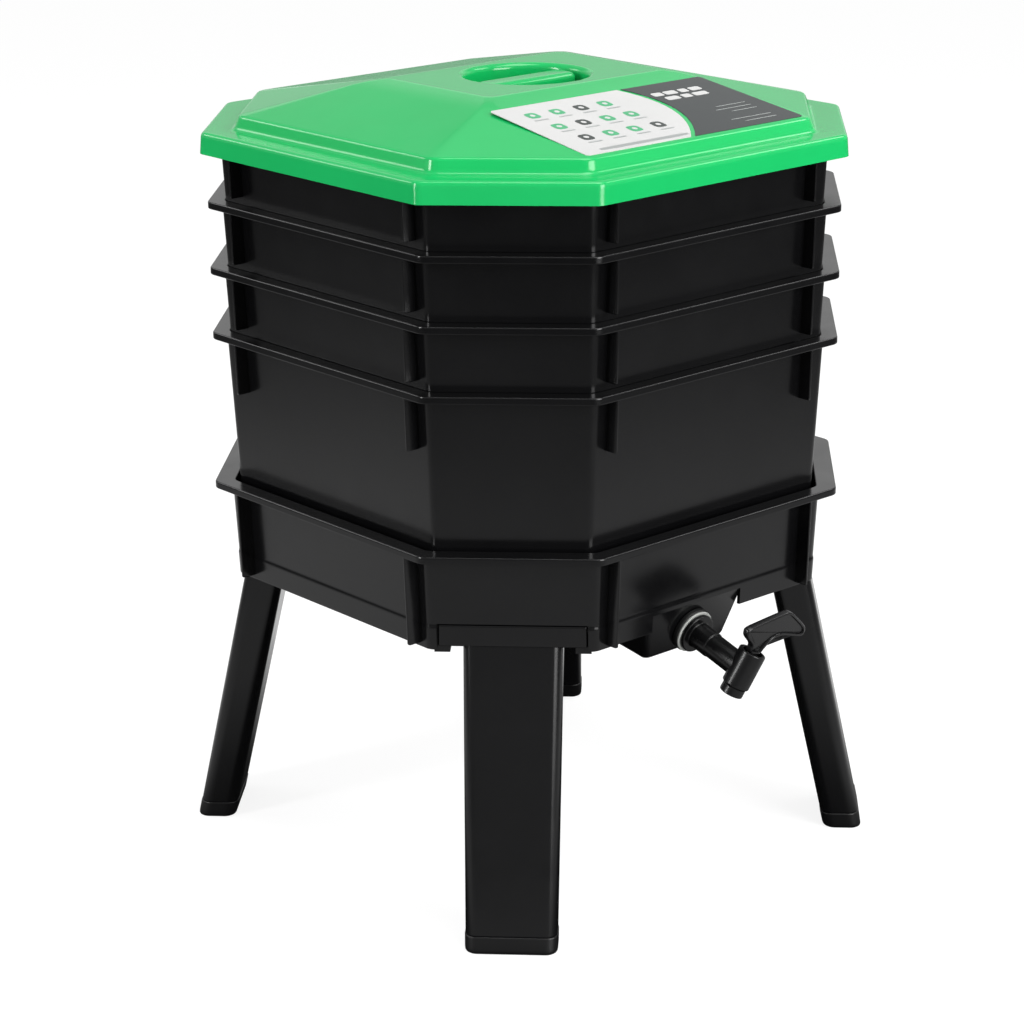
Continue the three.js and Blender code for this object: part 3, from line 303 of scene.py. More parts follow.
def lofted(rings):
    """Quads between neighbouring rings of an (n, m, 3) array, with a face across the first and
    the last ring. Rings that run counter-clockwise and upward face out."""
    count, around = rings.shape[:2]
    grid = np.arange(count * around).reshape(count, around)
    low, high = grid[:-1], grid[1:]
    quads = np.stack([low, np.roll(low, -1, 1), np.roll(high, -1, 1), high], -1).reshape(-1, 4)
    caps = [grid[0][::-1].tolist(), grid[-1].tolist()]
    return rings.reshape(-1, 3), quads.tolist() + caps


def blades(places, root, edge, levels, steps=4):
    """Upright blades. At each level a blade's section runs from root to edge along its angle's
    direction, with its two outer corners rounded by quarter circles. Places are pairs of angle
    and sideways offset; root and edge are distances from the axis, one for each level."""
    quarter = np.linspace(0, math.pi / 2, steps + 1)
    arc_out = BLADE_ROUND * np.cos(quarter) - BLADE_ROUND
    arc_side = BLADE_ROUND * np.sin(quarter) - BLADE_ROUND
    reach = np.concatenate([[0], arc_out[::-1], arc_out, [0]])
    half = FIN_THICK / 2
    side = np.concatenate([[-1], -1 - arc_side[::-1] / half, 1 + arc_side / half, [1]])
    inner = np.zeros(len(reach), bool)
    inner[[0, -1]] = True
    base = np.where(inner, np.asarray(root)[:, None], np.asarray(edge)[:, None] + reach)
    across = np.broadcast_to(side * FIN_THICK / 2, base.shape)
    height = np.broadcast_to(np.asarray(levels)[:, None], base.shape)
    found = []
    for angle, offset in places:
        x = base * math.cos(angle) - (across + offset) * math.sin(angle)
        y = base * math.sin(angle) + (across + offset) * math.cos(angle)
        found.append(lofted(np.stack([x, y, height], -1)))
    return found


def fins(half, flange_half, top, foot, foot_setback):
    """Eight fins under a flange, two on each long face. The outer edge leans in to its foot,
    where it turns under in a quarter circle."""
    front, left, back, right = -math.pi / 2, math.pi, math.pi / 2, 0.0
    places = [(front, -FIN_NEAR), (front, FIN_FAR), (left, -FIN_FAR), (left, FIN_NEAR),
              (back, -FIN_NEAR), (back, FIN_FAR), (right, -FIN_FAR), (right, FIN_NEAR)]
    turn = np.linspace(0, 1, 7) * math.pi / 2
    levels = np.concatenate([foot + FIN_ROUND * (1 - np.cos(turn)), [top - FLANGE_PLATE / 2]])
    share = (levels - foot) / (levels[-1] - foot)
    lean = flange_half - foot_setback + share * (foot_setback - FIN_INSET)
    under = np.concatenate([FIN_ROUND * (1 - np.sin(turn)), [0]])
    root = half - (top - levels) * DRAFT - OVERLAP
    return blades(places, root, lean - under, levels)


def stops(half, cut, depth, thickness, floor, rest):
    """Two upright stops in each cut corner, whose tops carry the tray above. They stand out from
    the inside of the corner's wall, where it meets the floor."""
    wall = (2 * half - cut) / math.sqrt(2) - depth * DRAFT - thickness
    places = [(math.pi / 4 + k * math.pi / 2 + math.pi, -side * STOP_SPREAD)
              for k in range(4) for side in (-1, 1)]
    levels = np.array([floor - OVERLAP, rest - STOP_EASE, rest])
    inward = -(wall - STOP_REACH) + np.array([0, 0, -STOP_EASE])
    return blades(places, np.full(3, -wall - OVERLAP), inward, levels)


def joined(parts):
    """Pairs of points and faces as one pair."""
    points, faces, count = [], [], 0
    for part_points, part_faces in parts:
        points.append(np.asarray(part_points, float))
        faces += [[index + count for index in face] for face in part_faces]
        count += len(part_points)
    return np.concatenate(points), faces


def mesh_object(name, part):
    """A new object in the scene that holds a pair of points and faces."""
    points, faces = part
    mesh = bpy.data.meshes.new(name)
    mesh.from_pydata(points, [], faces)
    made = bpy.data.objects.new(name, mesh)
    bpy.context.scene.collection.objects.link(made)
    return made


def smooth(piece, sharp=SHARP_ANGLE):
    """Smooth shading but for edges that turn by more than sharp degrees."""
    piece.data.shade_smooth()
    piece.data.set_sharp_from_angle(angle=math.radians(sharp))


def make_piece(name, parts, material, body, slot, *nodes, sharp=SHARP_ANGLE):
    """Joins pairs of points and faces into one visible piece, with its shading, its material and
    its place in the frame."""
    piece = mesh_object(name, joined(parts))
    smooth(piece, sharp)
    piece.data.materials.append(material)
    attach(piece, body)
    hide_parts(*nodes)
    return piece


def carved(piece, operation, parts):
    """Adds other closed meshes to a piece, or cuts them away, and leaves one plain mesh."""
    tools = [mesh_object("carver", part) for part in parts]
    for tool in tools:
        change = piece.modifiers.new("carve", "BOOLEAN")
        change.operation, change.object, change.solver = operation, tool, "EXACT"
    bpy.context.view_layer.update()
    shaped = bpy.data.meshes.new_from_object(piece.evaluated_get(bpy.context.evaluated_depsgraph_get()))
    piece.modifiers.clear()
    piece.data = shaped
    for tool in tools:
        bpy.data.objects.remove(tool)


def turned_block(low, high, angle=0.0):
    """A block between two corners, turned about the upright axis through the origin."""
    corners = np.array([[low[0], low[1]], [high[0], low[1]], [high[0], high[1]], [low[0], high[1]]])
    turn = np.array([[math.cos(angle), math.sin(angle)], [-math.sin(angle), math.cos(angle)]])
    plan = corners @ turn
    return lofted(np.stack([np.column_stack([plan, np.full(4, z)]) for z in (low[2], high[2])]))


def basin_skin(top):
    """The basin's skin: up the skirt and its band, up the drafted wall, round the flange, down
    inside and under the floor."""
    floor = top - BASIN_DEPTH
    skirt = floor - SKIRT_HEIGHT
    row = lambda z, change: ring_row(BASIN_HALF, BASIN_CUT, BASIN_CORNER, (top - z) * DRAFT + change, z)
    lip = lambda z, inset: ring_row(BASIN_FLANGE_HALF, BASIN_FLANGE_CUT, FLANGE_CORNER, inset, z)
    rows = [
        row(floor, BASIN_WALL), row(skirt, BASIN_WALL), row(skirt, -BAND_PROUD),
        row(skirt + BAND_HEIGHT, -BAND_PROUD), row(skirt + BAND_HEIGHT + BAND_SLOPE, 0),
        row(top - FLANGE_PLATE, 0), lip(top - FLANGE_PLATE, FLANGE_LIP_WALL),
        lip(top - FLANGE_LIP, FLANGE_LIP_WALL), lip(top - FLANGE_LIP, 0), lip(top, 0),
        row(top, BASIN_WALL), row(floor + BASIN_FLOOR, BASIN_WALL),
        row(floor + BASIN_FLOOR, BASIN_WALL + FLOOR_INSET),
    ]
    rounds = [0.0004, 0.0006, 0.0010, 0.0010, 0.0006, 0.0005, 0.0004, 0.0007, 0.0010, 0.0008, 0.0020]
    return eased(rows, rounds)


def moulded_plastic(name, body_hex, worn_hex, roughness, grain, grain_scale, haze=0.05):
    """Moulded plastic in one body colour: a broad, faint change of tone where the surface has
    been handled, a satin that varies a little, and the mould's grain. Scales are in cells per
    metre: a tone about every 110 mm, a satin patch every 25 mm, and at 900 a grain of 1.1 mm,
    drawn coarser than the mould's own so that it shows."""
    material, tree, output = new_material(name)
    place = add(tree, "ShaderNodeTexCoord").outputs["Object"]
    broad = add(tree, "ShaderNodeTexNoise", {"Vector": place}, Scale=TONE_SCALE, Detail=4.0,
                Roughness=0.6)
    tone = add(tree, "ShaderNodeValToRGB", {"Fac": broad.outputs["Fac"]})
    tone.color_ramp.elements[0].position, tone.color_ramp.elements[1].position = 0.35, 0.75
    tone.color_ramp.elements[0].color = linear(body_hex)
    tone.color_ramp.elements[1].color = linear(worn_hex)
    cloudy = add(tree, "ShaderNodeTexNoise", {"Vector": place}, Scale=SATIN_SCALE, Detail=5.0)
    satin = add(tree, "ShaderNodeMapRange", {"Value": cloudy.outputs["Fac"]}, From_Min=0.3,
                From_Max=0.7, To_Min=roughness - haze / 2, To_Max=roughness + haze / 2)
    pores = add(tree, "ShaderNodeTexNoise", {"Vector": place}, Scale=grain_scale, Detail=2.0)
    relief = add(tree, "ShaderNodeBump", {"Height": pores.outputs["Fac"]}, Strength=grain,
                 Distance=GRAIN_DEPTH)
    shader = add(tree, "ShaderNodeBsdfPrincipled", {"Base Color": tone.outputs["Color"],
                 "Roughness": satin.outputs["Result"], "Normal": relief.outputs["Normal"]}, IOR=1.49)
    tree.links.new(shader.outputs["BSDF"], output.inputs["Surface"])
    return material


# Satin black polypropylene, straight from a lightly grained mould: deep black with soft, wide
# reflections. Trays, collector and legs are made of it.
black_polypropylene = moulded_plastic("satin_black_polypropylene", "#070708", "#0c0c0d", 0.20, 0.04, 900)

COLLECTOR_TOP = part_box("collector_tray")[1].z
COLLECTOR_FLOOR = COLLECTOR_TOP - BASIN_DEPTH
SKIRT_FOOT = COLLECTOR_FLOOR - SKIRT_HEIGHT
RECESS_TOP, RECESS_HALF = SKIRT_FOOT + 0.013, 0.045
TAP_X, PAD_Y, PAD_Z, PAD_TILT, PAD_WALL = -0.0115, -0.1887, SKIRT_FOOT - 0.009, math.radians(17), 0.003
SUMP_FOOT, SUMP_BACK_FOOT = SKIRT_FOOT - 0.0258, SKIRT_FOOT - 0.0203
SUMP_HALF_TOP, SUMP_HALF_FOOT, SUMP_WALL, SUMP_CORNER, ROOM_CORNER = 0.0488, 0.0396, 0.0024, 0.004, 0.002
SUMP_BACK_TOP_Y, SUMP_BACK_FOOT_Y = PAD_Y + 0.0937, PAD_Y + 0.0407
HEAD_TOP_R, HEAD_WIDTH, HEAD_DEPTH, HEAD_HEIGHT = 0.21702, 0.106, 0.035, 0.0162
FIT, SEAM = 0.0003, 0.0007
HEAD_FOOT = COLLECTOR_FLOOR - FIT - HEAD_HEIGHT
NOTCH_DEPTH, NOTCH_PROUD = 0.0058, 0.0022
RAIL_HOOK, RAIL_FOOT, RAIL_WALL, RAIL_ENDS = 0.0088, 0.0052, 0.0025, (0.0036, 0.004)


def pad_y(z, inward):
    """Y of the tilted tap pad at a level, or of a face parallel to it and further in."""
    return PAD_Y - (z - PAD_Z) * math.tan(PAD_TILT) + inward / math.cos(PAD_TILT)


def sump_part(foot, back_foot, throat, back_top_y, back_foot_y, inward, side, corner, soft):
    """The sump, or the room in it, in three sections with rounded corners: the foot, the level
    where the skirt's recess ends, and the throat in the basin's floor. A soft foot turns under
    in four more sections."""
    lean = (SUMP_HALF_TOP - SUMP_HALF_FOOT) / (RECESS_TOP - SUMP_FOOT)
    half = lambda z: SUMP_HALF_FOOT + (z - SUMP_FOOT) * lean - side
    front_top = pad_y(RECESS_TOP, inward)
    sections = [
        [half(foot), pad_y(foot, inward), foot, half(back_foot), back_foot_y, back_foot],
        [half(RECESS_TOP), front_top, RECESS_TOP, half(RECESS_TOP), back_top_y, RECESS_TOP],
        [half(RECESS_TOP), front_top, throat, half(RECESS_TOP), back_top_y, throat],
    ]
    if soft:
        low, high = np.array(sections[0]), np.array(sections[1])
        share = np.array([0, 0.02, 0.045, 0.08])[:, None]
        inset = np.array([0.004, 0.0016, 0.0004, 0])[:, None] * np.array([1, -1, 0, 1, 1, 0])
        sections = [*(low + (high - low) * share - inset), *sections[1:]]
    quarter = np.linspace(0, math.pi / 2, 5)
    rings = []
    for front_half, front_y, front_z, back_half, back_y, back_z in sections:
        front, back = (front_half, front_y, front_z), (back_half, back_y, back_z)
        ring = []
        for sign_x, sign_y, (half_x, y, z), start in (
            (-1, -1, front, math.pi), (1, -1, front, -math.pi / 2),
            (1, 1, back, 0.0), (-1, 1, back, math.pi / 2),
        ):
            x = TAP_X + sign_x * (half_x - corner) + corner * np.cos(start + quarter)
            arc_y = y - sign_y * corner + corner * np.sin(start + quarter)
            ring.append(np.column_stack([x, arc_y, np.full(5, z)]))
        rings.append(np.concatenate(ring))
    return lofted(np.array(rings))


def rail(angle, side):
    """One L-shaped rail beside a leg head, a section carried along the leg's direction."""
    gap = HEAD_WIDTH / 2 + FIT
    foot = HEAD_FOOT - FIT
    top = COLLECTOR_FLOOR + OVERLAP
    outline = np.array([
        [gap, top], [gap, foot], [gap - RAIL_HOOK, foot], [gap - RAIL_HOOK, foot - RAIL_FOOT],
        [gap + RAIL_WALL, foot - RAIL_FOOT], [gap + RAIL_WALL, top],
    ]) * [side, 1]
    outline = outline[::-side]
    ends = (HEAD_TOP_R - RAIL_ENDS[0], HEAD_TOP_R - HEAD_DEPTH + RAIL_ENDS[1])
    rings = [np.column_stack([np.full(6, r), outline]) for r in ends]
    cosine, sine = math.cos(angle), math.sin(angle)
    return lofted(np.array(rings) @ np.array([[cosine, sine, 0], [-sine, cosine, 0], [0, 0, 1]]))


basin = lofted(octagon_rings(basin_skin(COLLECTOR_TOP)))
collector = make_piece("collector_moulding", [basin], black_polypropylene, "base", "black_plastic",
                       "collector_tray")
notches = [turned_block((HEAD_TOP_R - NOTCH_DEPTH, -HEAD_WIDTH / 2 - SEAM, SKIRT_FOOT - OVERLAP),
                        (HEAD_TOP_R + NOTCH_PROUD, HEAD_WIDTH / 2 + SEAM, COLLECTOR_FLOOR + SEAM),
                        math.pi / 4 + k * math.pi / 2) for k in range(4)]
recess = turned_block((TAP_X - RECESS_HALF, -BASIN_HALF - BASIN_WALL, SKIRT_FOOT - OVERLAP),
                      (TAP_X + RECESS_HALF, pad_y(RECESS_TOP, 0) + PAD_WALL + BASIN_WALL, RECESS_TOP))
carved(collector, "DIFFERENCE", [*notches, recess])
sump = sump_part(SUMP_FOOT, SUMP_BACK_FOOT, COLLECTOR_FLOOR + OVERLAP, SUMP_BACK_TOP_Y,
                 SUMP_BACK_FOOT_Y, 0, 0, SUMP_CORNER, soft=True)
basin_floor = COLLECTOR_FLOOR + BASIN_FLOOR
room = sump_part(SUMP_FOOT + SUMP_WALL, SUMP_BACK_FOOT + SUMP_WALL, basin_floor + OVERLAP,
                 SUMP_BACK_TOP_Y - SUMP_WALL, SUMP_BACK_FOOT_Y - SUMP_WALL, PAD_WALL, SUMP_WALL,
                 ROOM_CORNER, soft=False)
rails = [rail(math.pi / 4 + k * math.pi / 2, side) for k in range(4) for side in (-1, 1)]
basin_fins = fins(BASIN_HALF, BASIN_FLANGE_HALF, COLLECTOR_TOP, SKIRT_FOOT + FIN_RISE, FIN_SETBACK)
basin_stops = stops(BASIN_HALF, BASIN_CUT, BASIN_DEPTH - BASIN_FLOOR, BASIN_WALL, basin_floor,
                    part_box("tray_4")[0].z)
carved(collector, "UNION", [sump, *rails, *basin_fins, *basin_stops])
carved(collector, "DIFFERENCE", [room])
smooth(collector)

# Legs and foot caps. Each leg is a hollow black moulding that splays outward to its foot, with
# a wide flat head that slides into the collector's rails. A soft rubber cap with rounded edges
# is pushed on its foot.
LEG_FOOT_R, LEG_SETBACK, LEG_EDGE = HEAD_TOP_R + 0.0455, 0.0016, 0.0085
LEG_TOP_WIDTH, LEG_FOOT_WIDTH, LEG_TOP_DEPTH, LEG_FOOT_DEPTH = 0.0714, 0.066, 0.031, 0.029
HEAD_CORNER, HEAD_INSET, HEAD_TOP_INSET = 0.0018, 0.002, 0.004
CAP_HEIGHT, CAP_PROUD, CAP_ROUND, CAP_INSET = 0.0127, 0.0005, 0.0030, 0.004
SHAFT_TUCKS, SHAFT_OVERLAP = ((-0.002, -0.0012), (-0.0002, -0.0006), (0.0006, 0)), 0.002
PLAN = (0, 4)


def box_rings(rows, angle, steps=6, beside=0.0012):
    """Rings round a box section that looks along an angle. A row holds the outer face's distance
    from the axis, depth, width, corner radius and height. The corners are quarter circles."""
    outer, depth, width, corner, height = np.asarray(rows, float).T[..., None, None]
    turn = (np.arange(4) * math.pi / 2 - math.pi / 2)[:, None]
    share = np.concatenate([[0], np.linspace(0, 1, steps + 1), [1]]) * math.pi / 2
    aside = np.concatenate([[-beside], np.zeros(steps + 1), [beside]])
    sign_r, sign_t = np.array([[1], [1], [-1], [-1]]), np.array([[-1], [1], [1], [-1]])
    arc_r = corner * np.cos(turn + share) - aside * np.sin(turn + share)
    arc_t = corner * np.sin(turn + share) + aside * np.cos(turn + share)
    r = (outer - depth / 2) + sign_r * (depth / 2 - corner) + arc_r
    t = sign_t * (width / 2 - corner) + arc_t
    z = height + 0 * r
    x, y = r * math.cos(angle) - t * math.sin(angle), r * math.sin(angle) + t * math.cos(angle)
    return np.stack([x, y, z], -1).reshape(len(r), -1, 3)


def leg_row(z, proud=0.0):
    """The shaft's section at a level, grown on all sides by proud."""
    share = (HEAD_FOOT - z) / HEAD_FOOT
    outer = HEAD_TOP_R - LEG_SETBACK + share * (LEG_FOOT_R - HEAD_TOP_R + LEG_SETBACK)
    depth = LEG_TOP_DEPTH + share * (LEG_FOOT_DEPTH - LEG_TOP_DEPTH)
    width = LEG_TOP_WIDTH + share * (LEG_FOOT_WIDTH - LEG_TOP_WIDTH)
    return [outer + proud, depth + 2 * proud, width + 2 * proud, LEG_EDGE + proud, z]


def head_row(z, inset=0.0):
    """The head's section at a level."""
    return [HEAD_TOP_R - inset, HEAD_DEPTH - 2 * inset, HEAD_WIDTH - 2 * inset, HEAD_CORNER, z]


def leg_parts(angle):
    """Shaft and head of one leg, two closed skins that meet at the head's foot. The shaft steps
    in by a hair where the cap covers it: each tuck is a height from the cap's top and a growth."""
    shaft = [leg_row(CAP_HEIGHT + rise, growth) for rise, growth in SHAFT_TUCKS]
    shaft.append(leg_row(HEAD_FOOT + SHAFT_OVERLAP))
    top = HEAD_FOOT + HEAD_HEIGHT
    head = [head_row(HEAD_FOOT, HEAD_INSET), head_row(HEAD_FOOT), head_row(top),
            head_row(top, HEAD_TOP_INSET)]
    return [lofted(box_rings(eased(shaft, [0.0001, 0.0004], 3, PLAN), angle)),
            lofted(box_rings(eased(head, [0.0012, 0.0013], 4, PLAN), angle))]


def cap_part(angle):
    """One foot cap, rounded at its foot and, less, at its top."""
    rows = [leg_row(0, CAP_PROUD - CAP_INSET), leg_row(0, CAP_PROUD), leg_row(CAP_HEIGHT, CAP_PROUD),
            leg_row(CAP_HEIGHT, -CAP_INSET / 2)]
    return lofted(box_rings(eased(rows, [CAP_ROUND, 0.0007], 4, PLAN), angle))


# Soft black rubber, moulded: a little duller and greyer than the plastic.
cap_rubber = moulded_plastic("soft_black_rubber", "#09090a", "#0f0f10", 0.34, 0.12, 1500)
for number, eighths in enumerate((5, 7, 1, 3), 1):
    angle = math.pi * eighths / 4
    make_piece(f"leg_moulding_{number}", leg_parts(angle), black_polypropylene, "base",
               "black_plastic", f"leg_{number}")
    make_piece(f"cap_moulding_{number}", [cap_part(angle)], cap_rubber, "base",
               "cap_rubber", f"foot_cap_{number}")

# Tap. A rubber gasket, a pale washer and the tap's moulded body stand on the sump's tilted pad:
# collar, barrel and an upright valve that leans with the barrel's roll. The finger lever, a
# shallow trough with a raised rim, turns in the top of the valve.
TAP_REACH, VALVE_ROLL, TAP_SIDES = 0.057, math.radians(20), 56
GASKET, WASHER, COLLAR = (0.0172, 0.0001, 0.0041), (0.0166, 0.0042, 0.0058), (0.0150, 0.0059, 0.0093)
RING_WIDTH, GASKET_ROUND, WASHER_ROUND = 0.004, 0.0012, 0.0007
BARREL_R, BARREL_END, NECK_R, NECK_STEP = 0.0098, 0.0243, 0.0092, 0.0006
VALVE_R, VALVE_TOP, VALVE_DROP, VALVE_STEP = 0.0103, 0.015, 0.0135, 0.001
MOUTH_R, MOUTH_LENGTH, MOUTH_BORE_R, MOUTH_BORE = 0.0088, 0.0065, 0.0064, 0.005
SEAT_R, SEAT_DEPTH, PLUG_R, PLUG_PROUD = 0.0076, 0.0050, 0.0046, -0.0015
WING_SPAN, WING_THICK, WING_RISE, WING_EDGE = 0.065, 0.0054, 0.0006, 0.0011
WING_BACK, WING_RIM, WING_SUNK, RIM_BEVEL, RIM_SLOPE = 0.003, 0.0018, 0.0013, 0.0003, 0.0007
PAD_PLACE = np.array([TAP_X, PAD_Y, PAD_Z])
TAP_OUT = np.array([0, -math.cos(PAD_TILT), -math.sin(PAD_TILT)])
TAP_SIDE = np.array([1.0, 0, 0])
TAP_DOWN = np.cross(TAP_SIDE, TAP_OUT)
VALVE_UP = math.sin(VALVE_ROLL) * TAP_SIDE - math.cos(VALVE_ROLL) * TAP_DOWN
VALVE_SIDE = math.cos(VALVE_ROLL) * TAP_SIDE + math.sin(VALVE_ROLL) * TAP_DOWN
VALVE_FRONT = np.cross(VALVE_SIDE, VALVE_UP)
VALVE_PLACE = PAD_PLACE + TAP_REACH * TAP_OUT


def turned(rows, base, axis, side, sides=TAP_SIDES):
    """A turned solid: each row's radius is swept about the axis at its distance along it."""
    angle = np.linspace(0, 2 * math.pi, sides + 1)[:-1]
    other = np.cross(axis, side)
    spoke = np.cos(angle)[:, None] * side + np.sin(angle)[:, None] * other
    rows = np.asarray(rows, float)
    return lofted(base + rows[:, None, 1:2] * axis + rows[:, None, 0:1] * spoke)


def turned_ring(outer, low, high, soft):
    """A solid disc between two distances from the pad, with rounded rims."""
    rows = [[outer - RING_WIDTH, low], [outer, low], [outer, high], [outer - RING_WIDTH, high]]
    return turned(eased(rows, [soft, soft], 4, (0, 1)), PAD_PLACE, TAP_OUT, TAP_SIDE)


# Gasket: black rubber, dull. Washer: pale grey nylon, a little waxy.
gasket_rubber = moulded_plastic("dull_black_rubber", "#060606", "#0c0c0c", 0.55, 0.25, 1600)
pale_nylon = moulded_plastic("pale_grey_nylon", "#b2b4b0", "#bcbeba", 0.42, 0.1, 1200)
make_piece("tap_gasket_ring", [turned_ring(*GASKET, GASKET_ROUND)], gasket_rubber, "base",
           "seal_rubber", "tap_gasket")
make_piece("tap_washer_ring", [turned_ring(*WASHER, WASHER_ROUND)], pale_nylon, "base",
           "washer_plastic", "tap_washer")

# Hard black ABS from a polished mould, with small, clear reflections: body, lever and nut. The
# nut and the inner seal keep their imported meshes.
tap_plastic = moulded_plastic("glossy_black_abs", "#050506", "#0a0a0b", 0.27, 0.05, 1400)
for cad_name, material in (("tap_nut", tap_plastic), ("tap_inner_seal", gasket_rubber)):
    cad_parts[cad_name].data.materials[0] = material

barrel_rows = eased([
    [0.006, COLLAR[1]], [COLLAR[0], COLLAR[1]], [COLLAR[0], COLLAR[2]], [BARREL_R, COLLAR[2]],
    [BARREL_R, BARREL_END], [NECK_R, BARREL_END + NECK_STEP], [NECK_R, TAP_REACH],
], [0.0004, 0.0008, 0.0008, 0.0003, 0.0003], 4, (0, 1))
mouth_end = -VALVE_DROP - MOUTH_LENGTH
seat_floor = VALVE_TOP - SEAT_DEPTH
valve_rows = eased([
    [0.003, mouth_end + MOUTH_BORE], [MOUTH_BORE_R, mouth_end + MOUTH_BORE], [MOUTH_BORE_R, mouth_end],
    [MOUTH_R, mouth_end], [MOUTH_R, -VALVE_DROP], [VALVE_R, -VALVE_DROP + VALVE_STEP],
    [VALVE_R, VALVE_TOP], [SEAT_R, VALVE_TOP], [SEAT_R, seat_floor], [0.002, seat_floor],
], [0.0003, 0.0004, 0.0005, 0.0007, 0.0006, 0.0009, 0.0005, 0.0003], 4, (0, 1))
make_piece("tap_moulding", [turned(barrel_rows, PAD_PLACE, TAP_OUT, TAP_SIDE),
                            turned(valve_rows, VALVE_PLACE, VALVE_UP, VALVE_SIDE)],
           tap_plastic, "base", "tap_plastic", "tap_body")

# Outline of the lever seen square to the barrel, in shares of its span: across the valve's
# axis, and up from the top of the valve's body.
WING_SHARES = np.array([
    (-0.098, -0.040), (-0.110, 0.077), (-0.300, 0.169), (-0.338, 0.262), (-0.050, 0.400),
    (0.231, 0.532), (0.323, 0.527), (0.654, 0.395), (0.717, 0.330), (0.714, 0.268),
    (0.662, 0.243), (0.323, 0.237), (0.192, 0.182), (0.125, 0.060), (0.098, -0.040),
])


def smoothed(outline, rounds=2):
    """Cuts the corners of a closed outline twice: each side keeps its points at 1/6 and 5/6."""
    for _ in range(rounds):
        sixth = (np.roll(outline, -1, axis=0) - outline) / 6
        outline = np.stack([outline + sixth, np.roll(outline, -1, axis=0) - sixth], 1).reshape(-1, 2)
    return outline


def inset_outline(outline, distance):
    """The outline moved inward: each point goes along the mean normal of its two sides, by the
    distance over the cosine of half the turn there."""
    before, after = outline - np.roll(outline, 1, axis=0), np.roll(outline, -1, axis=0) - outline
    normal = lambda v: np.column_stack([-v[:, 1], v[:, 0]]) / np.linalg.norm(v, axis=1, keepdims=True)
    mean = normal(before) + normal(after)
    return outline + distance * 2 * mean / (mean ** 2).sum(1, keepdims=True)


def wing_rings():
    """Rings of the lever, back to front: rounded edges, then the rim and the sunk face. A step is
    an inset of the outline and a level."""
    outline = smoothed(WING_SHARES)[::-1] * WING_SPAN
    half = WING_THICK / 2
    turn = np.linspace(0, math.pi / 2, 5)
    curl = [(WING_EDGE * (1 - math.sin(v)), -half + WING_EDGE * (1 - math.cos(v))) for v in turn]
    steps = [(WING_BACK, -half), *curl, *[(inset, -level) for inset, level in curl[::-1]],
             (WING_RIM, half), (WING_RIM + RIM_BEVEL, half - RIM_BEVEL),
             (WING_RIM + RIM_SLOPE, half - WING_SUNK), (WING_RIM + 2 * RIM_SLOPE, half - WING_SUNK)]
    base = VALVE_PLACE + (VALVE_TOP + WING_RISE) * VALVE_UP
    rings = []
    for inset, level in steps:
        plan = inset_outline(outline, inset)
        rings.append(base + plan[:, :1] * VALVE_SIDE + plan[:, 1:] * VALVE_UP + level * VALVE_FRONT)
    return np.array(rings)


plug_low, plug_high = seat_floor - OVERLAP, VALVE_TOP + PLUG_PROUD
plug_rows = eased([[0.003, plug_low], [PLUG_R, plug_low], [PLUG_R, plug_high], [0.002, plug_high]],
                  [0.0003, 0.0008], 4, (0, 1))
plug = turned(plug_rows, VALVE_PLACE, VALVE_UP, VALVE_SIDE)
make_piece("tap_lever_moulding", [lofted(wing_rings()), plug], tap_plastic, "tap_lever",
           "tap_plastic", "tap_lever")

# Trays. Four alike black mouldings that nest, each hung on the stops of the one below: a
# drafted wall with a rounded foot, a lipped flange with a hooked edge, eight fins outside, two
# stops in each cut corner and drain holes through the floor.
TRAY_HALF, TRAY_CUT, TRAY_CORNER, TRAY_FOOT_ROUND = 0.1965, 0.0805, 0.008, 0.003
TRAY_HEIGHT, TRAY_WALL, TRAY_FLOOR = 0.150, 0.002, 0.0024
TRAY_FLANGE_HALF, TRAY_FLANGE_CUT = 0.2062, 0.0854
FIN_DROP, TRAY_FIN_SETBACK, STOP_TOP = 0.0435, 0.0016, 0.0493
HOLE_R, HOLE_STEP, HOLE_SIDES = 0.0036, 0.044, 20


def tray_skin(top):
    """The tray's skin: out under the floor, up the drafted wall, round the flange and down
    inside to the floor."""
    foot = top - TRAY_HEIGHT
    row = lambda z, change: ring_row(TRAY_HALF, TRAY_CUT, TRAY_CORNER, (top - z) * DRAFT + change, z)
    lip = lambda z, inset: ring_row(TRAY_FLANGE_HALF, TRAY_FLANGE_CUT, FLANGE_CORNER, inset, z)
    rows = [
        row(foot, FLOOR_INSET), row(foot, 0), row(top - FLANGE_PLATE, 0),
        lip(top - FLANGE_PLATE, FLANGE_LIP_WALL), lip(top - FLANGE_LIP, FLANGE_LIP_WALL),
        lip(top - FLANGE_LIP, 0), lip(top, 0), row(top, TRAY_WALL),
        row(foot + TRAY_FLOOR, TRAY_WALL), row(foot + TRAY_FLOOR, TRAY_WALL + FLOOR_INSET),
    ]
    return eased(rows, [TRAY_FOOT_ROUND, 0.0006, 0.0005, 0.0004, 0.0007, 0.0010, 0.0008, 0.0015])


def drain_holes(low, high):
    """Round cutters on a square grid, wherever no step is more than 4 from the middle, counted
    along both sides together, or more than 3 along one."""
    steps = np.arange(-3, 4)
    i, j = np.meshgrid(steps, steps)
    kept = np.abs(i) + np.abs(j) <= 4
    spots = np.column_stack([i[kept], j[kept]]) * HOLE_STEP
    rows = [[HOLE_R, low], [HOLE_R, high]]
    up, side = np.array([0, 0, 1.0]), np.array([1.0, 0, 0])
    return joined([turned(rows, np.array([x, y, 0]), up, side, HOLE_SIDES) for x, y in spots])


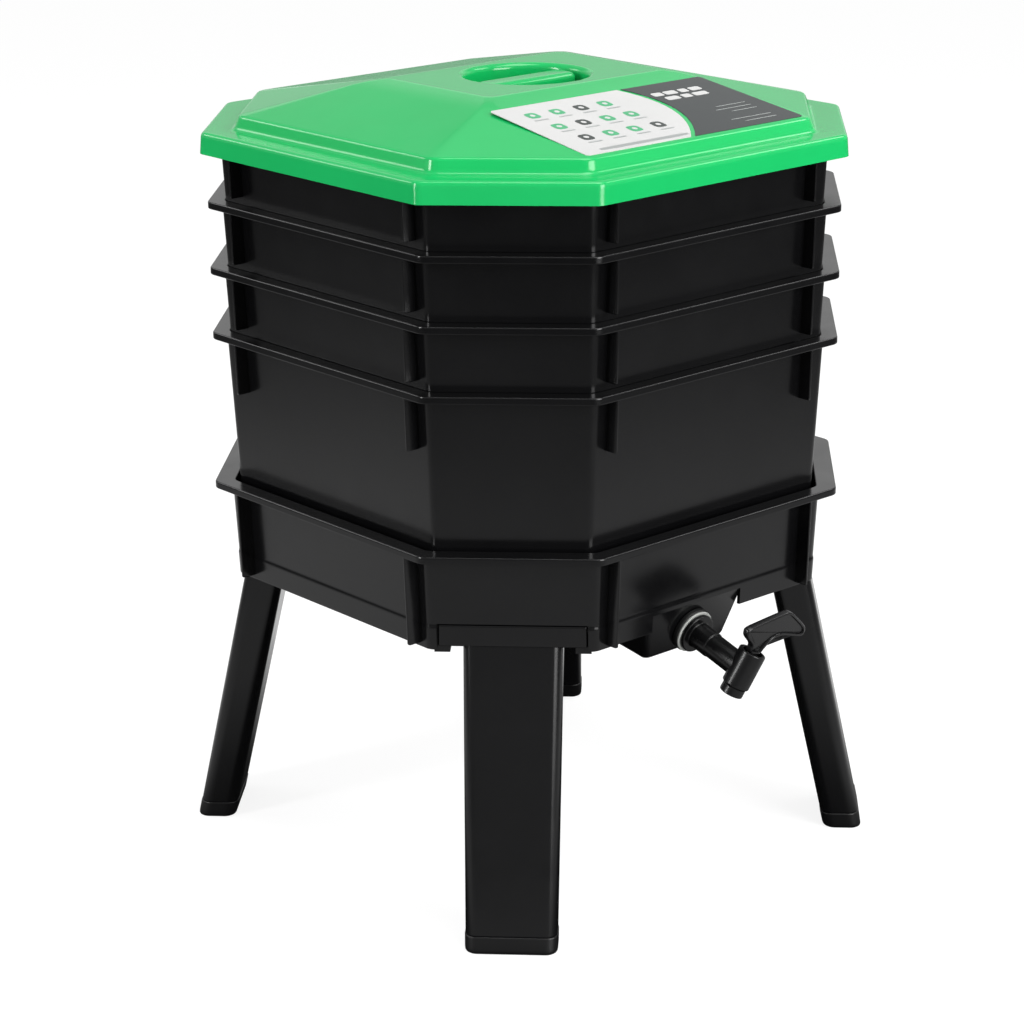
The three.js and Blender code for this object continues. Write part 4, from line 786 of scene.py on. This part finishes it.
for number in (4, 3, 2, 1):
    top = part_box(f"tray_{number}")[1].z
    foot = top - TRAY_HEIGHT
    tray = f"tray_{number}"
    skin = make_piece(f"tray_skin_{number}", [lofted(octagon_rings(tray_skin(top)))],
                      black_polypropylene, tray, "black_plastic", tray)
    carved(skin, "DIFFERENCE", [drain_holes(foot - OVERLAP, foot + TRAY_FLOOR + OVERLAP)])
    smooth(skin)
    ribs = [*fins(TRAY_HALF, TRAY_FLANGE_HALF, top, top - FIN_DROP, TRAY_FIN_SETBACK),
            *stops(TRAY_HALF, TRAY_CUT, TRAY_HEIGHT - TRAY_FLOOR, TRAY_WALL, foot + TRAY_FLOOR,
                   foot + STOP_TOP)]
    make_piece(f"tray_ribs_{number}", ribs, black_polypropylene, tray, "black_plastic", tray)

# Lid. One bright green polypropylene moulding: a lipped rim, a narrow shelf, a small step,
# facets that slope up to a softly crowned top, and a round finger well with a bar across it.
LID_HALF, LID_CUT, LID_CORNER, LID_INNER_CORNER = 0.2103, 0.088, 0.010, 0.008
LID_WALL, LID_DRAFT, LID_SKIRT, LID_EDGE = 0.0022, 0.0009, 0.0137, 0.0034
SHELF_WIDTH, SHELF_ROUND, STEP_LEAN, STEP_CUT, STEP_HEIGHT = 0.0223, 0.0030, 0.0034, 0.077, 0.0105
STEP_EDGE, STEP_CORNER, STEP_TOP_CUT = 0.0018, 0.005, STEP_CUT - 0.001
PLATEAU_HALF_X, PLATEAU_HALF_Y, PLATEAU_CUT, PLATEAU_CORNER = 0.101, 0.072, 0.0045, 0.0035
CROWN_INSET, CROWN_RISE, CROWN_MARGIN, PLATEAU_ROUND, CROWN_ROUND = 0.014, 0.0026, 0.004, 0.0085, 0.0015
WELL_R, WELL_LIP, WELL_DEPTH, WELL_FOOT, WELL_MARGIN = 0.0464, 0.0044, 0.0266, 0.005, 0.0006
UNDER_ROUND, UNDER_LIP, UNDER_FOOT, WELL_FLOOR_INSET = 0.001, 0.0024, 0.006, 0.004
BAR_HALF, BAR_DROP, BAR_EDGE, BAR_END_GAP = 0.011, 0.0024, 0.0045, 0.0035
BAR_CORNER, BAR_TAPER = 0.0065, 0.6
lid_low, lid_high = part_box("lid")
CROWN_Z = lid_high.z
PLATEAU_Z = CROWN_Z - CROWN_RISE
SHELF_Z = lid_low.z + LID_SKIRT + LID_WALL
STEP_TOP_Z = SHELF_Z + STEP_HEIGHT
STEP_BASE = LID_HALF - SHELF_WIDTH
STEP_TOP = STEP_BASE - STEP_LEAN


def lid_rows(shrink, corner):
    """Half the lid's skin, from its rim up and in to the crown, moved inward by shrink."""
    square = lambda half, z, cut, radius: ring_row(half, cut, radius, shrink, z)
    crown_x, crown_y = PLATEAU_HALF_X - CROWN_INSET, PLATEAU_HALF_Y - CROWN_INSET
    crown = CROWN_Z - shrink
    return [
        square(LID_HALF, lid_low.z, LID_CUT, corner),
        square(LID_HALF - LID_DRAFT, SHELF_Z - shrink, LID_CUT, corner),
        square(STEP_BASE, SHELF_Z - shrink, STEP_CUT, corner + STEP_CORNER),
        square(STEP_TOP, STEP_TOP_Z - shrink, STEP_TOP_CUT, corner + STEP_CORNER),
        [PLATEAU_HALF_X, PLATEAU_HALF_Y, PLATEAU_Z - shrink, PLATEAU_CUT, PLATEAU_CORNER],
        [crown_x, crown_y, crown, PLATEAU_CUT, PLATEAU_CORNER],
        [crown_x - CROWN_MARGIN, crown_y - CROWN_MARGIN, crown, PLATEAU_CUT, PLATEAU_CORNER],
    ]


def well_rings(spoke, radius, depth, lip, foot, shrink):
    """The well: a rolled lip in from the crown, a wall straight down and a rounded foot. A ring
    has one point along each spoke, which is a direction in plan."""
    t = np.linspace(0, math.pi / 2, 8)
    lip_r, lip_z = radius + lip * (1 - np.sin(t)), CROWN_Z - shrink - lip * (1 - np.cos(t))
    foot_r, foot_z = radius - foot * (1 - np.cos(t)), CROWN_Z - depth + foot * (1 - np.sin(t))
    r = np.concatenate([[radius + lip + WELL_MARGIN], lip_r, foot_r, [radius - foot - WELL_FLOOR_INSET]])
    z = np.concatenate([[CROWN_Z - shrink], lip_z, foot_z, [CROWN_Z - depth]])
    plan = r[:, None, None] * spoke
    return np.concatenate([plan, np.broadcast_to(z[:, None, None], (*plan.shape[:2], 1))], -1)


def lid_skin():
    """The lid in one closed skin, whose rings all have their points at the same angles: from the
    well's under side out and down to the rim, then up, in and down into the well."""
    outer_rounds = [LID_EDGE, SHELF_ROUND, STEP_EDGE, PLATEAU_ROUND, CROWN_ROUND]
    inner_rounds = [UNDER_ROUND, UNDER_ROUND, UNDER_ROUND, PLATEAU_ROUND, CROWN_ROUND]
    outer = octagon_rings(eased(lid_rows(0, LID_CORNER), outer_rounds, 6), between=6)
    inner = octagon_rings(eased(lid_rows(LID_WALL, LID_INNER_CORNER), inner_rounds, 3), between=6)
    angle = np.arctan2(outer[-1, :, 1], outer[-1, :, 0])
    spoke = np.column_stack([np.cos(angle), np.sin(angle)])
    well = well_rings(spoke, WELL_R, WELL_DEPTH, WELL_LIP, WELL_FOOT, 0)
    under = well_rings(spoke, WELL_R + LID_WALL, WELL_DEPTH + LID_WALL, UNDER_LIP, UNDER_FOOT, LID_WALL)
    return lofted(np.concatenate([under[::-1], inner[::-1], outer, well]))


def bar_part():
    """The bar across the well: an upright block with rounded ends, whose top edges turn in by a
    quarter circle."""
    length, foot, top = WELL_R - BAR_END_GAP, CROWN_Z - WELL_DEPTH - OVERLAP, CROWN_Z - BAR_DROP
    t = np.linspace(0, math.pi / 2, 9)
    inset = np.concatenate([[0, 0], BAR_EDGE * (1 - np.cos(t))])
    level = np.concatenate([[foot, foot + 0.01], top - BAR_EDGE + BAR_EDGE * np.sin(t)])
    turn = np.linspace(0, math.pi / 2, 7)
    rings = []
    for grow, z in zip(inset, level):
        half_x, half_y, corner = length - grow, BAR_HALF - grow, BAR_CORNER - BAR_TAPER * grow
        ring = [np.column_stack([sign_x * (half_x - corner) + corner * np.cos(start + turn),
                                 sign_y * (half_y - corner) + corner * np.sin(start + turn),
                                 np.full(len(turn), z)])
                for sign_x, sign_y, start in ((1, 1, 0), (-1, 1, math.pi / 2), (-1, -1, math.pi),
                                              (1, -1, -math.pi / 2))]
        rings.append(np.concatenate(ring))
    return lofted(np.array(rings))


# Green polypropylene: glossy and strongly coloured, from a polished mould without grain.
green_polypropylene = moulded_plastic("glossy_green_polypropylene", "#12a958", "#15ae5c", 0.17, 0.0, 700,
                                      haze=0.03)
make_piece("lid_skin", [lid_skin(), bar_part()], green_polypropylene, "lid", "lid_plastic", "lid",
           sharp=50)

# Label. Two thin vinyl panels glued on the facet above the tap, one pale and one dark, parted by
# a curved strip of bare green. Rounded badges, bars, blocks and rules are printed on them.
PANEL_THICK, PANEL_SIDE_MARGIN, PANEL_TOP_MARGIN, PANEL_FOOT_MARGIN = 0.0004, 0.0011, 0.010, 0.0032
PANEL_CORNER, PANEL_SPLIT, PANEL_ARC = 0.0032, 0.0042, (0.016, 0.024, -0.006)
LIGHT_TAPER, DARK_TAPER, SKIN_GAP = -0.002, 0.008, 0.0001
PRINT_THICK, PRINT_GAP, ROUND_POWER, BLOCK_POWER, BAR_POWER = 0.00008, 0.00003, 4.0, 9.0, 12.0
ICON_COLUMNS, ICON_ROWS, ICON_SLANT = (-0.083, -0.060, -0.037, -0.014), (-0.020, -0.045, -0.070), 0.1
ICON_SIZE, ICON_HOLE, CAPTION, CAPTION_DROP = 0.0105, 0.0042, (0.0125, 0.0016), 0.0095
STRIP_PLACE, STRIP_SIZE = (-0.047, -0.0935), (0.084, 0.0042)
RULE_END, RULE_WEIGHT = 0.088, 0.0009
RULES = (0.030, -0.058), (0.036, -0.064), (0.026, -0.070), (0.040, -0.084), (0.032, -0.090)
BLOCK_HEIGHT = 0.0066
BLOCKS = ((0.036, -0.020, 0.010), (0.049, -0.020, 0.012), (0.062, -0.020, 0.008), (0.074, -0.020, 0.011),
          (0.042, -0.030, 0.013), (0.056, -0.030, 0.009), (0.070, -0.030, 0.014))
FACET_EDGE = 0.0016
FACET_RUN, FACET_RISE = STEP_TOP - FACET_EDGE - PLATEAU_HALF_Y, PLATEAU_Z - STEP_TOP_Z
FACET_SLOPE = math.atan2(FACET_RISE, FACET_RUN)
PANEL_HALF = STEP_TOP - STEP_CUT - PANEL_SIDE_MARGIN
PANEL_LENGTH = math.hypot(FACET_RUN, FACET_RISE) - PANEL_TOP_MARGIN - PANEL_FOOT_MARGIN


def on_facet(plan, level):
    """Points given across the facet and down it, at a level above it, placed on the lid."""
    up_slope = -PANEL_TOP_MARGIN + plan[:, 1]
    cosine, sine = math.cos(FACET_SLOPE), math.sin(FACET_SLOPE)
    y = up_slope * cosine - (SKIN_GAP + level) * sine
    z = up_slope * sine + (SKIN_GAP + level) * cosine
    return np.column_stack([plan[:, 0], y - PLATEAU_HALF_Y, z + PLATEAU_Z])


def panel_plan(outward, taper):
    """Outline of a panel, counter-clockwise: the curved inner edge, then the rounded corners."""
    share = np.linspace(0, 1, 13)
    top_x, mid_x, foot_x = PANEL_ARC
    bulge = 2 * mid_x - (top_x + foot_x) / 2
    arc = (1 - share) ** 2 * top_x + 2 * share * (1 - share) * bulge + share ** 2 * foot_x
    inner_edge = np.column_stack([arc + outward * PANEL_SPLIT / 2, -PANEL_LENGTH * share])
    quarter = np.linspace(0, math.pi / 2, 6)
    foot_x, top_x = PANEL_HALF * outward, (PANEL_HALF - taper) * outward
    foot = np.column_stack([foot_x - outward * PANEL_CORNER * (1 - np.sin(quarter)),
                            -PANEL_LENGTH + PANEL_CORNER * (1 - np.cos(quarter))])
    top = np.column_stack([top_x - outward * PANEL_CORNER * (1 - np.cos(quarter)),
                           -PANEL_CORNER * (1 - np.sin(quarter))])
    outline = np.concatenate([inner_edge, foot, top])
    return outline if outward > 0 else outline[::-1]


def rounded_plan(x, down, width, height, power=ROUND_POWER, count=20):
    """Outline of a superellipse: |x / a| ^ p + |y / b| ^ p = 1, a plain circle where p is 2."""
    angle = np.linspace(0, 2 * math.pi, count + 1)[:-1] + 0.01
    cosine, sine = np.cos(angle), np.sin(angle)
    radius = (np.abs(cosine) ** power + np.abs(sine) ** power) ** (-1 / power)
    return np.column_stack([x + width / 2 * radius * cosine, down + height / 2 * radius * sine])


def panel_part(outline, low, high):
    """A flat panel between two levels above the facet."""
    return lofted(np.array([on_facet(outline, low), on_facet(outline, high)]))


def printed(plans, layer=0):
    """Flat printed shapes that stand a hair above a panel's film, or above another print."""
    low = PANEL_THICK + PRINT_GAP + layer * (PRINT_THICK + PRINT_GAP)
    return [panel_part(plan, low, low + PRINT_THICK) for plan in plans]


# Smooth vinyl film with a low gloss, and inks in plain tones that are a little duller.
pale_film = moulded_plastic("pale_printed_film", "#c3c3c2", "#c8c8c7", 0.21, 0.02, 600)
dark_film = moulded_plastic("dark_printed_film", "#1c2324", "#22292a", 0.21, 0.02, 600)
grey_ink = moulded_plastic("grey_label_ink", "#909493", "#969a98", 0.30, 0.02, 600)
green_ink = moulded_plastic("green_label_ink", "#369e69", "#3ea570", 0.30, 0.02, 600)
dark_ink = moulded_plastic("dark_label_ink", "#2b3330", "#313936", 0.30, 0.02, 600)
films = [[panel_part(panel_plan(-1, LIGHT_TAPER), 0, PANEL_THICK)],
         [panel_part(panel_plan(1, DARK_TAPER), 0, PANEL_THICK)]]
spots = [(x - ICON_SLANT * (row - ICON_ROWS[1]), row) for row in ICON_ROWS for x in ICON_COLUMNS]
badges = printed([rounded_plan(*spot, ICON_SIZE, ICON_SIZE) for spot in spots])
centres = printed([rounded_plan(*spot, ICON_HOLE, ICON_HOLE, 2.0) for spot in spots], 1)
bars = printed([rounded_plan(x, down - CAPTION_DROP, *CAPTION, BAR_POWER) for x, down in spots]
               + [rounded_plan(*STRIP_PLACE, *STRIP_SIZE, BAR_POWER)])
blocks = printed([rounded_plan(x, down, width, BLOCK_HEIGHT, BLOCK_POWER) for x, down, width in BLOCKS])
rules = printed([rounded_plan(RULE_END - width / 2, down, width, RULE_WEIGHT, BAR_POWER)
                 for width, down in RULES])
for name, parts, material, tone in (
    ("label_light_film", films[0], pale_film, "light"),
    ("label_dark_film", films[1], dark_film, "dark"),
    ("label_green_badges", badges[::3] + badges[1::3], green_ink, "light"),
    ("label_dark_badges", badges[2::3], dark_ink, "light"),
    ("label_badge_centres", centres, pale_film, "light"),
    ("label_grey_bars", bars, grey_ink, "light"),
    ("label_pale_blocks", blocks, pale_film, "dark"),
    ("label_thin_rules", rules, grey_ink, "dark"),
):
    make_piece(name, parts, material, "lid", f"label_{tone}", f"label_panel_{tone}")
